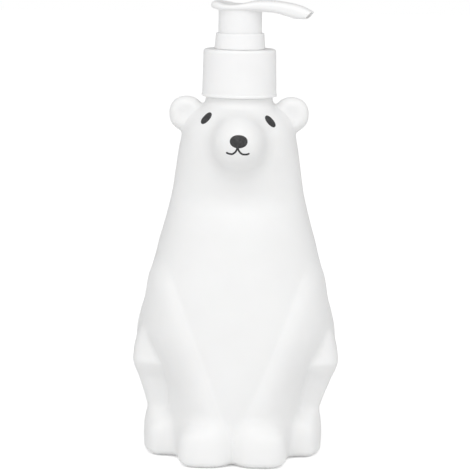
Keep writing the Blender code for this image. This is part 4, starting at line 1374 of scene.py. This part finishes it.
@dataclass(frozen=True)
class PumpBody:
    """What hangs in the neck: the stepped housing, the dip tube, the locking collar and the spring.

    The socket and the barrel are each given by outer radius, inner radius and depth below the
    flange's top, the ball's chamber by outer radius, inner radius and length, and the lip over
    it and the seat under it by radius and length.
    """

    fit: PumpFit = PumpFit()
    flange_radius: float = 13.6 * MM
    socket: Triple = (9.1 * MM, 8.3 * MM, 8.0 * MM)
    barrel: Triple = (7.6 * MM, 6.6 * MM, 38.0 * MM)
    cone: float = 4.0 * MM
    chamber: Triple = (4.6 * MM, 3.0 * MM, 7.0 * MM)
    lip: Pair = (2.3 * MM, 1.0 * MM)
    seat: Pair = (1.6 * MM, 1.6 * MM)
    tube_socket: float = 10.0 * MM
    tube_radius: float = 3.0 * MM
    tube_bore: float = 2.1 * MM
    tube_low: float = 7.7 * MM
    tube_cut: float = 40.0
    tube_edge: float = 0.15 * MM
    tube_room: float = 0.1 * MM
    collar_top: float = 189.3 * MM
    collar_gap: float = 0.08 * MM
    collar_bore: float = 9.95 * MM
    collar_radius: Pair = (11.35 * MM, 10.75 * MM)
    collar_neck: float = 10.8 * MM
    plug_wall: float = 1.1 * MM
    guide_radius: float = 3.7 * MM
    guide_floor: float = 1.3 * MM
    spring_radius: float = 4.75 * MM
    wire_radius: float = 0.5 * MM
    spring_turns: int = 7
    spring_points: int = 40
    closed_share: float = 0.11
    closed_rise: float = 0.055
    wire_end: float = 0.86
    stroke: float = 8.3 * MM

    @property
    def barrel_end(self) -> float:
        """Return the height of the ledge that carries the spring."""
        return self.fit.flange_top - self.barrel[2]

    @property
    def chamber_top(self) -> float:
        """Return the height at which the ball's chamber starts."""
        return self.barrel_end - self.cone

    @property
    def chamber_end(self) -> float:
        """Return the height at which the ball's seat starts."""
        return self.chamber_top - self.chamber[2]

    @property
    def seat_low(self) -> float:
        """Return the height of the underside of the ball's seat."""
        return self.chamber_end - self.seat[1]

    def housing(self) -> Mesh:
        """Turn the housing from its outline.

        Returns:
            The housing.
        """
        top, socket_low = self.fit.flange_top, self.fit.flange_top - self.socket[2]
        step = self.socket[0] - self.barrel[0]
        lip = self.chamber_top - self.lip[1]
        grip = self.tube_radius + self.tube_room
        socket_end = self.seat_low - self.tube_socket
        ledge = self.spring_radius - self.wire_radius - self.fit.gap
        corners = [
            (self.socket[1], top, 0.3 * MM), (self.socket[1], socket_low, 0.1 * MM),
            (self.barrel[1], socket_low - step, 0.2 * MM), (self.barrel[1], self.barrel_end, 0.1 * MM),
            (ledge, self.barrel_end, 0.15 * MM), (self.lip[0], self.chamber_top, 0.1 * MM),
            (self.lip[0], lip, 0.1 * MM), (self.chamber[1], lip - self.chamber[1] + self.lip[0], 0.1 * MM),
            (self.chamber[1], self.chamber_end, 0.1 * MM), (self.seat[0], self.seat_low, 0.1 * MM),
            (grip, self.seat_low, 0.1 * MM), (grip, socket_end, 0.25 * MM),
            (self.chamber[0], socket_end, 0.3 * MM), (self.chamber[0], self.chamber_top, 0.5 * MM),
            (self.barrel[0], self.barrel_end, 0.5 * MM), (self.barrel[0], socket_low - step, 0.4 * MM),
            (self.socket[0], socket_low, 0.4 * MM), (self.socket[0], top - self.fit.flange, 0.3 * MM),
            (self.flange_radius, top - self.fit.flange, 0.25 * MM), (self.flange_radius, top, 0.25 * MM),
        ]
        return lathe("pump_barrel", corners, 4, 2.0 * MM, 128 // COARSE)

    def dip_tube(self) -> Mesh:
        """Build the dip tube, whose foot is cut at a slant: height = low + slope (x + radius) there.

        Returns:
            The tube.
        """
        angle = circle(48)
        outer, inner = np.full(60, self.tube_radius), np.full(60, self.tube_bore)
        wall = np.array([self.tube_bore + self.tube_edge, self.tube_radius - self.tube_edge])
        radius = np.concatenate([outer, wall[::-1], inner, wall])
        share = np.linspace(0.0, 1.0, 60)
        share = np.concatenate([share, [1.0, 1.0], share[::-1], [0.0, 0.0]])
        x, y = radius[:, None] * np.cos(angle), radius[:, None] * np.sin(angle)
        foot = self.tube_low + math.tan(math.radians(self.tube_cut)) * (x + self.tube_radius)
        z = foot + share[:, None] * (self.seat_low - self.fit.gap - foot)
        return closed_skin("suction_tube", np.stack([x, y, z], axis=-1))

    def collar(self) -> Mesh:
        """Build the locking collar: tapered ring, the skirt's cup, floor and plug with a stem guide.

        Returns:
            The collar.
        """
        seat = self.fit.closure_top + self.collar_gap
        floor = self.fit.floor_top
        under = floor - self.fit.collar_floor
        plug = self.socket[1] - self.fit.gap
        plug_bore = plug - self.plug_wall
        plug_end = under - self.fit.plug_length
        guide_top = plug_end + self.guide_floor
        corners = [
            (self.collar_bore, self.collar_top, 0.3 * MM), (self.collar_bore, floor, 0.2 * MM),
            (plug_bore, floor, 0.2 * MM), (plug_bore, guide_top, 0.2 * MM),
            (self.guide_radius, guide_top, 0.2 * MM), (self.guide_radius, plug_end, 0.2 * MM),
            (plug, plug_end, 0.4 * MM), (plug, under, 0.1 * MM),
            (self.collar_neck, under, 0.15 * MM), (self.collar_neck, seat, 0.1 * MM),
            (self.collar_radius[0], seat, 0.2 * MM), (self.collar_radius[1], self.collar_top, 0.7 * MM),
        ]
        return lathe("collar_ring", corners, 7, 1.2 * MM, 160 // COARSE)

    def spring(self) -> Mesh:
        """Build the coil, whose height rises with the turn, slower in the closed turn at each end.

        Returns:
            The spring.
        """
        low = self.barrel_end + self.fit.gap + self.wire_radius
        high = self.fit.stem_foot - self.fit.gap - self.wire_radius
        share = np.linspace(0.0, 1.0, self.spring_turns * self.spring_points + 1)
        knots = np.array([0.0, self.closed_share, 1.0 - self.closed_share, 1.0])
        rise = follow(knots, np.array([0.0, self.closed_rise, 1.0 - self.closed_rise, 1.0]), share)
        angle = TURN * self.spring_turns * share
        path = np.stack([self.spring_radius * np.cos(angle), self.spring_radius * np.sin(angle),
                         low + (high - low) * rise], axis=-1)
        to_end = np.minimum(np.arange(len(share)), np.arange(len(share))[::-1])
        radius = self.wire_radius * np.where(to_end == 0, self.wire_end, 1.0)
        return tube("coil_spring", path, radius, 12, (0.0, 0.0, 1.0))

    def build(self, white: Material, natural: Material, extruded: Material,
              steel: Material) -> None:
        """Make the pieces that ride on the pump's core.

        Args:
            white: the collar's plastic.
            natural: the housing's plastic.
            extruded: the dip tube's plastic.
            steel: the spring's steel.
        """
        show(self.housing(), natural, Body.PUMP_CORE, ("pump_housing",))
        show(self.dip_tube(), extruded, Body.PUMP_CORE, ("dip_tube",))
        show(self.collar(), white, Body.PUMP_CORE, ("locking_collar",))
        coil = show(self.spring(), steel, Body.PUMP_CORE, ("return_spring",))
        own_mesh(coil)


@dataclass(frozen=True)
class Piston:
    """What moves with the press: the piston's soft lips, the hollow stem, and the two valve balls."""

    fit: PumpFit = PumpFit()
    pump: PumpBody = PumpBody()
    stem_radius: float = 3.4 * MM
    stem_bore: float = 1.7 * MM
    flange_radius: float = 5.6 * MM
    cup_radius: float = 2.6 * MM
    seat_height: float = 0.9 * MM
    inlet_radius: float = 2.5 * MM
    outlet_radius: float = 2.2 * MM
    ball_gap: float = 0.12 * MM
    lip_flare: float = 0.5 * MM
    lip_edge: float = 0.3 * MM
    lip_height: float = 1.0 * MM
    lip_foot: float = 2.4 * MM

    def seal(self) -> Mesh:
        """Turn the piston seal: two flared lips on a waist.

        Returns:
            The seal.
        """
        high = self.fit.piston_top
        low = high - self.fit.piston_length
        bore = self.stem_radius + self.fit.gap
        lip = self.pump.barrel[1] - self.fit.gap
        waist = lip - self.lip_height
        half = [
            (bore, 0.0, 0.15 * MM), (lip - self.lip_flare, 0.0, 0.1 * MM), (lip, self.lip_edge, 0.2 * MM),
            (lip, self.lip_height, 0.2 * MM), (waist, self.lip_foot, 0.6 * MM)]
        corners = [(radius, low + up, bend) for radius, up, bend in half]
        corners += [(radius, high - up, bend) for radius, up, bend in half[::-1]]
        return lathe("piston_lips", corners, 4, 1.0 * MM, 112 // COARSE)

    def stem(self) -> Mesh:
        """Turn the hollow stem with its foot flange and the outlet ball's cup.

        Returns:
            The stem.
        """
        low, high = self.fit.stem_foot, self.fit.stem_top
        cup = high - self.fit.cup_depth
        corners = [
            (self.stem_bore, low, 0.2 * MM), (self.flange_radius, low, 0.25 * MM),
            (self.flange_radius, low + self.fit.stem_flange, 0.25 * MM),
            (self.stem_radius, low + self.fit.stem_flange, 0.2 * MM), (self.stem_radius, high, 0.3 * MM),
            (self.cup_radius, high, 0.15 * MM), (self.cup_radius, cup, 0.1 * MM),
            (self.stem_bore, cup - self.seat_height, 0.1 * MM)]
        return lathe("stem_tube", corners, 4, 2.0 * MM, 96 // COARSE)

    def ball(self, name: str, radius: float, wide: Pair, narrow: Pair) -> Mesh:
        """Return a ball that rests a hair above its conical seat.

        The ball's centre lies above the cone's tip by (radius + gap) x slant / run.

        Args:
            name: the mesh's name.
            radius: the ball's radius.
            wide: radius and height of the seat's wide end.
            narrow: radius and height of its narrow end.

        Returns:
            The ball.
        """
        run, rise = wide[0] - narrow[0], wide[1] - narrow[1]
        centre = narrow[1] - narrow[0] * rise / run + (radius + self.ball_gap) * math.hypot(run, rise) / run
        angle = np.linspace(-math.pi / 2.0, math.pi / 2.0, 33)
        outline = np.stack([radius * np.cos(angle), centre + radius * np.sin(angle)], axis=-1)
        outline[[0, -1], 0] = 0.0
        return turned(name, outline, 64)

    def build(self, natural: Material, seal: Material, steel: Material) -> None:
        """Make the stem, the seal and the balls.

        Args:
            natural: the stem's plastic.
            seal: the seal's plastic.
            steel: the balls' steel.
        """
        show(self.seal(), seal, Body.PISTON, ("piston_seal",))
        show(self.stem(), natural, Body.PISTON, ("piston_stem",))
        pump = self.pump
        inlet = self.ball("lower_valve_ball", self.inlet_radius, (pump.chamber[1], pump.chamber_end),
                          (pump.seat[0], pump.seat_low))
        show(inlet, steel, Body.INLET_BALL, ("inlet_ball",))
        cup = self.fit.stem_top - self.fit.cup_depth
        outlet = self.ball("upper_valve_ball", self.outlet_radius, (self.cup_radius, cup),
                           (self.stem_bore, cup - self.seat_height))
        show(outlet, steel, Body.OUTLET_BALL, ("outlet_ball",))


# Along the head: reach and rise of the upper rail, reach and rise of the lower rail, half width
HEAD_RAILS = (
    (-0.365, 0.500, -0.365, 0.350, 0.240), (-0.350, 0.750, -0.352, 0.240, 0.460),
    (-0.303, 0.870, -0.303, 0.130, 0.670), (-0.220, 0.830, -0.230, 0.040, 0.850),
    (-0.135, 0.710, -0.140, 0.000, 0.955), (-0.033, 0.690, -0.030, 0.000, 1.000),
    (0.090, 0.800, 0.090, 0.000, 0.965), (0.210, 0.935, 0.205, 0.000, 0.850),
    (0.330, 1.000, 0.312, -0.020, 0.680), (0.455, 0.960, 0.430, -0.060, 0.540),
    (0.608, 0.850, 0.540, -0.180, 0.455), (0.750, 0.680, 0.645, -0.370, 0.410),
    (0.865, 0.440, 0.760, -0.540, 0.375), (0.968, 0.110, 0.880, -0.545, 0.345),
)


@dataclass(frozen=True)
class PumpHead:
    """The head that is pressed: a dished thumb rest and spout, over a skirt and a stem socket."""

    fit: PumpFit = PumpFit()
    underside: float = 199.0 * MM
    thickness: float = 5.3 * MM
    reach: float = 34.5 * MM
    half_width: float = 10.9 * MM
    turn: float = -17.0
    power: float = 2.7
    dish: float = 0.8 * MM
    dish_start: Pair = (-11.0 * MM, -7.0 * MM)
    dish_end: Pair = (0.0, 8.7 * MM)
    skirt_radius: float = 9.7 * MM
    skirt_wall: float = 1.0 * MM
    skirt_end: float = 188.6 * MM
    socket_radius: float = 5.0 * MM
    socket_end: float = 182.0 * MM
    stem_grip: float = 3.45 * MM
    roof: float = 0.9 * MM
    stem_room: float = 0.7 * MM
    channel: float = 1.5 * MM
    channel_rise: float = 1.0 * MM
    channel_station: float = 8.0
    channel_overrun: float = 2.0 * MM
    widening: Pair = (22.0 * MM, 32.0 * MM)
    rising: Pair = (8.0 * MM, 28.0 * MM)
    mouth: Pair = (3.2 * MM, 1.55 * MM)

    def rails(self, spot: Array) -> tuple[Array, Array, Array]:
        """Read the head's rails and width on a smooth curve.

        Args:
            spot: places along the stations, 0 for the first and 1 for the next.

        Returns:
            The upper rail, the lower rail and the half width there.
        """
        table = np.array(HEAD_RAILS)
        knots = np.arange(len(table), dtype=float)
        columns = [follow(knots, table[:, column], spot) for column in range(5)]
        upper = np.stack([columns[0] * self.reach, self.underside + columns[1] * self.thickness], axis=-1)
        lower = np.stack([columns[2] * self.reach, self.underside + columns[3] * self.thickness], axis=-1)
        return upper, lower, columns[4] * self.half_width

    def top(self) -> Mesh:
        """Build the loft between the rails.

        Across each station the section is an oval of the given power. The thumb rest sinks by
        the dish's depth times (1 - across squared) squared, and fades out along the head.

        Returns:
            The top.
        """
        spots = np.linspace(0.0, len(HEAD_RAILS) - 1.0, 131 // COARSE)
        upper, lower, width = self.rails(spots)
        angle = circle(88)[None, :] + TURN / 176
        rise, side = fuller(np.sin(angle), self.power), fuller(np.cos(angle), self.power)
        middle, half = (upper + lower) / 2.0, (upper - lower) / 2.0
        x = middle[:, :1] + rise * half[:, :1]
        along = ease(*self.dish_start, x) * (1.0 - ease(*self.dish_end, x))
        hollow = self.dish * along * (1.0 - side ** 2) ** 2
        z = middle[:, 1:] + rise * half[:, 1:] - hollow * ease(0.0, 0.8, rise)
        rings = np.stack([x, side * width[:, None], z], axis=-1)
        poles = np.stack([middle[0], middle[-1]])
        return closed_skin("head_top", rings, np.insert(poles, 1, 0.0, axis=1))

    def skirt(self) -> Mesh:
        """Turn the skirt, the roof over it and the stem socket as one.

        Returns:
            The skirt.
        """
        cavity, top = self.underside - self.roof, self.underside + self.roof
        ceiling = self.fit.stem_top + self.stem_room
        inside = self.skirt_radius - self.skirt_wall
        corners = np.array([
            (0.0, ceiling, 0.0), (self.stem_grip, ceiling, 0.1 * MM),
            (self.stem_grip, self.socket_end, 0.3 * MM), (self.socket_radius, self.socket_end, 0.3 * MM),
            (self.socket_radius, cavity, 0.5 * MM), (inside, cavity, 0.4 * MM),
            (inside, self.skirt_end, 0.25 * MM), (self.skirt_radius, self.skirt_end, 0.25 * MM),
            (self.skirt_radius, top, 0.0), (0.0, top, 0.0)])
        outline = refined(rounded(corners, 5)[1:], 2.0 * MM, looped=False)
        outline = np.concatenate([[[0.0, ceiling]], outline, [[0.0, top]]])
        apart = np.linalg.norm(np.diff(outline, axis=0), axis=1)
        outline = outline[np.concatenate([[True], apart > SAME_POINT])]
        return turned("head_skirt", outline, 144 // COARSE)

    def passage(self) -> Mesh:
        """Build the cutter for the channel: up from the stem, round the elbow, out of the flat mouth.

        Returns:
            The cutter.
        """
        start = self.fit.stem_top + self.stem_room - self.channel_overrun
        level = self.underside + self.channel_rise
        bend = np.radians(np.linspace(0.0, 90.0, 10))
        elbow = np.stack([self.channel * (1.0 - np.cos(bend)),
                          level - self.channel * (1.0 - np.sin(bend))], axis=-1)
        upper, lower, _ = self.rails(np.linspace(self.channel_station, len(HEAD_RAILS) - 1.0, 36))
        middle = (upper + lower) / 2.0
        beyond = middle[-1] + unit(middle[-1] - middle[-2]) * self.channel_overrun
        path = np.concatenate([[[0.0, start]], elbow, middle, [beyond]])
        tangent = unit(np.gradient(path, axis=0))
        flare = ease(*self.widening, path[:, :1])
        wide = self.channel + (self.mouth[0] - self.channel) * flare
        tall = self.channel + (self.mouth[1] - self.channel) * ease(*self.rising, path[:, :1])
        angle = circle(40)[None, :]
        rise = tall * fuller(np.cos(angle), 2.0 + flare)
        y = wide * fuller(np.sin(angle), 2.0 + flare)
        x, z = path[:, :1] - tangent[:, 1:] * rise, path[:, 1:] + tangent[:, :1] * rise
        rings = np.stack([x, y, z], axis=-1)
        return closed_skin("passage", rings, np.insert(path[[0, -1]], 1, 0.0, axis=1))

    def build(self, white: Material) -> None:
        """Join the top and the skirt, cut the channel and turn the spout to its place at rest.

        Args:
            white: the head's plastic.
        """
        head = placed("head_blank", self.top())
        combine(head, self.skirt(), "UNION")
        combine(head, self.passage(), "DIFFERENCE")
        mesh = head.data
        bpy.data.objects.remove(head)
        mesh.name = "head_with_spout"
        mesh.transform(Matrix.Rotation(math.radians(self.turn), 4, Vector((0.0, 0.0, 1.0))))
        show(mesh, white, Body.HEAD, ("pump_head",), crease=32.0)


def combine(target: bpy.types.Object, mesh: Mesh, operation: str) -> None:
    """Join a mesh to an object or cut it out, and keep the result as the object's mesh.

    Args:
        target: the object.
        mesh: what is joined to it or cut out of it.
        operation: UNION or DIFFERENCE.
    """
    tool = placed("tool", mesh)
    step = target.modifiers.new("step", "BOOLEAN")
    step.operation, step.solver, step.object = operation, "EXACT", tool
    result = bpy.data.meshes.new_from_object(target.evaluated_get(bpy.context.evaluated_depsgraph_get()))
    target.modifiers.clear()
    target.data = result
    bpy.data.objects.remove(tool)


# The studio


@dataclass(frozen=True)
class SoftBox:
    """A large soft lamp that points at the object."""

    name: str
    place: Triple
    size: float
    power: float

    def build(self, aim: Vector) -> None:
        """Add the lamp.

        Args:
            aim: the place that it points at.
        """
        data = bpy.data.lights.new(self.name, "AREA")
        data.shape = "DISK"
        data.size = self.size
        data.energy = self.power
        lamp = placed(self.name, data)
        lamp.location = self.place
        lamp.rotation_euler = (Vector(self.place) - aim).to_track_quat("Z", "Y").to_euler()


@dataclass(frozen=True)
class Studio:
    """A white sweep, soft light from the front and above, and the camera of the photograph.

    The lean and the bow shape the light from all round, as world says. The paper's white and
    glow are what the camera sees of it, and its bounce is its white to all other rays.
    """

    aim: Triple = (0.0, 0.0, 0.1)
    camera_place: Triple = (-1.036 * MM, -1.1, 0.2528)
    camera_tilt: float = 82.01
    camera_roll: float = 0.8
    lens: float = 189.0
    sensor: float = 36.0
    clip: Pair = (0.05, 20.0)
    ambient: float = 0.67
    lean: Triple = (0.0, -0.44, 0.04)
    bow: Triple = (0.14, 0.0, 0.0)
    paper_white: float = 0.9
    paper_glow: float = 0.42
    paper_bounce: float = 0.93
    paper_share: Pair = (0.05, 1.0)
    paper_radius: float = 4.0
    paper_depth: float = 5.0 * MM
    key: SoftBox = SoftBox("key", (-0.05, -1.0, 1.35), 0.8, 4.2)

    def camera(self) -> None:
        """Add the camera."""
        data = bpy.data.cameras.new("photo_camera")
        data.lens = self.lens
        data.sensor_width = self.sensor
        data.clip_start, data.clip_end = self.clip
        view = placed("photo_camera", data)
        view.matrix_world = (Matrix.Translation(self.camera_place)
                             @ Matrix.Rotation(math.radians(self.camera_tilt), 4, "X")
                             @ Matrix.Rotation(math.radians(self.camera_roll), 4, "Z"))
        bpy.context.scene.camera = view

    def world(self) -> None:
        """Light from all round, brighter from above and in front, and plain white to the camera.

        The strength is the ambient level, plus the dot product of the ray's direction and the
        lean, plus that of the direction's squares and the bow, which brightens both sides alike.
        """
        world = bpy.data.worlds.new("studio_light")
        bpy.context.scene.world = world
        tree = Wiring(world)
        ray = tree.add("ShaderNodeTexCoord", {}).outputs["Generated"]
        lean = tree.add("ShaderNodeVectorMath", {0: ray, 1: self.lean}, operation="DOT_PRODUCT")
        square = tree.add("ShaderNodeVectorMath", {0: ray, 1: ray}, operation="MULTIPLY")
        bow = tree.add("ShaderNodeVectorMath", {0: square.outputs["Vector"], 1: self.bow},
                       operation="DOT_PRODUCT")
        level = tree.add("ShaderNodeMath", {0: lean.outputs["Value"], 1: bow.outputs["Value"]},
                         operation="ADD")
        total = tree.add("ShaderNodeMath", {0: level.outputs[0], 1: self.ambient}, operation="ADD")
        path = tree.add("ShaderNodeLightPath", {}).outputs
        seen = tree.add("ShaderNodeMath", {0: path["Is Camera Ray"], 1: path["Is Transmission Ray"]},
                        operation="MAXIMUM")
        choose = tree.add("ShaderNodeMix", {0: seen.outputs[0], 2: total.outputs[0], 3: 1.0},
                          data_type="FLOAT")
        tree.feed(tree.nodes["Background"], {"Strength": choose.outputs[0], "Color": (1.0, 1.0, 1.0, 1.0)})

    def paper(self) -> Material:
        """Build the floor's paper.

        To the camera it is white with a faint shadow: a glow added to a white diffuse. To other
        rays it is a plain white, so that much of the light comes back from below.

        Returns:
            The paper.
        """
        material = bpy.data.materials.new("studio_paper")
        tree = Wiring(material)
        tree.nodes.clear()
        glow = tree.add("ShaderNodeEmission", {"Strength": self.paper_glow})
        white = tree.add("ShaderNodeBsdfDiffuse", {"Color": (self.paper_white,) * 3 + (1.0,)})
        both = tree.add("ShaderNodeAddShader", {0: glow.outputs[0], 1: white.outputs[0]})
        plain = tree.add("ShaderNodeBsdfDiffuse", {"Color": (self.paper_bounce,) * 3 + (1.0,)})
        path = tree.add("ShaderNodeLightPath", {}).outputs
        choose = tree.add("ShaderNodeMixShader", {
            0: path["Is Camera Ray"], 1: plain.outputs[0], 2: both.outputs[0]})
        tree.add("ShaderNodeOutputMaterial", {"Surface": choose.outputs[0]})
        return material

    def floor(self) -> None:
        """Add the paper sweep's floor, a thin flat disc."""
        angle = circle(96)
        rings = np.linspace(*self.paper_share, 12)[:, None] * self.paper_radius
        grid = np.stack([rings * np.cos(angle), rings * np.sin(angle), np.zeros((12, 96))], axis=-1)
        poles = np.array([(0.0, 0.0, 0.0), (0.0, 0.0, -self.paper_depth)])
        mesh = closed_skin("paper_floor", np.concatenate([grid, grid[::-1] + poles[1]]), poles)
        mesh.shade_flat()
        mesh.materials.append(self.paper())
        floor = placed("paper_floor", mesh)

    def build(self) -> None:
        """Add the camera, the light and the floor."""
        bpy.context.scene.view_settings.view_transform = "Standard"
        self.camera()
        self.world()
        self.floor()
        self.key.build(Vector(self.aim))


def main() -> None:
    """Build every sub-assembly in order, then the studio."""
    logging.basicConfig(level=logging.INFO, format="%(name)s: %(message)s")
    white = PUMP_PLASTIC.material()
    natural = NATURAL_PLASTIC.material()
    seal = SEAL_PLASTIC.material()
    BearBottle().build(BOTTLE_PLASTIC.material())
    FacePrint().build(FACE_INK.material())
    Closure().build(white, seal)
    PumpBody().build(white, natural, TUBE_PLASTIC.material(), SPRING_STEEL.material())
    Piston().build(natural, seal, BALL_STEEL.material())
    PumpHead().build(white)
    Studio().build()


if __name__ == "__main__":
    main()
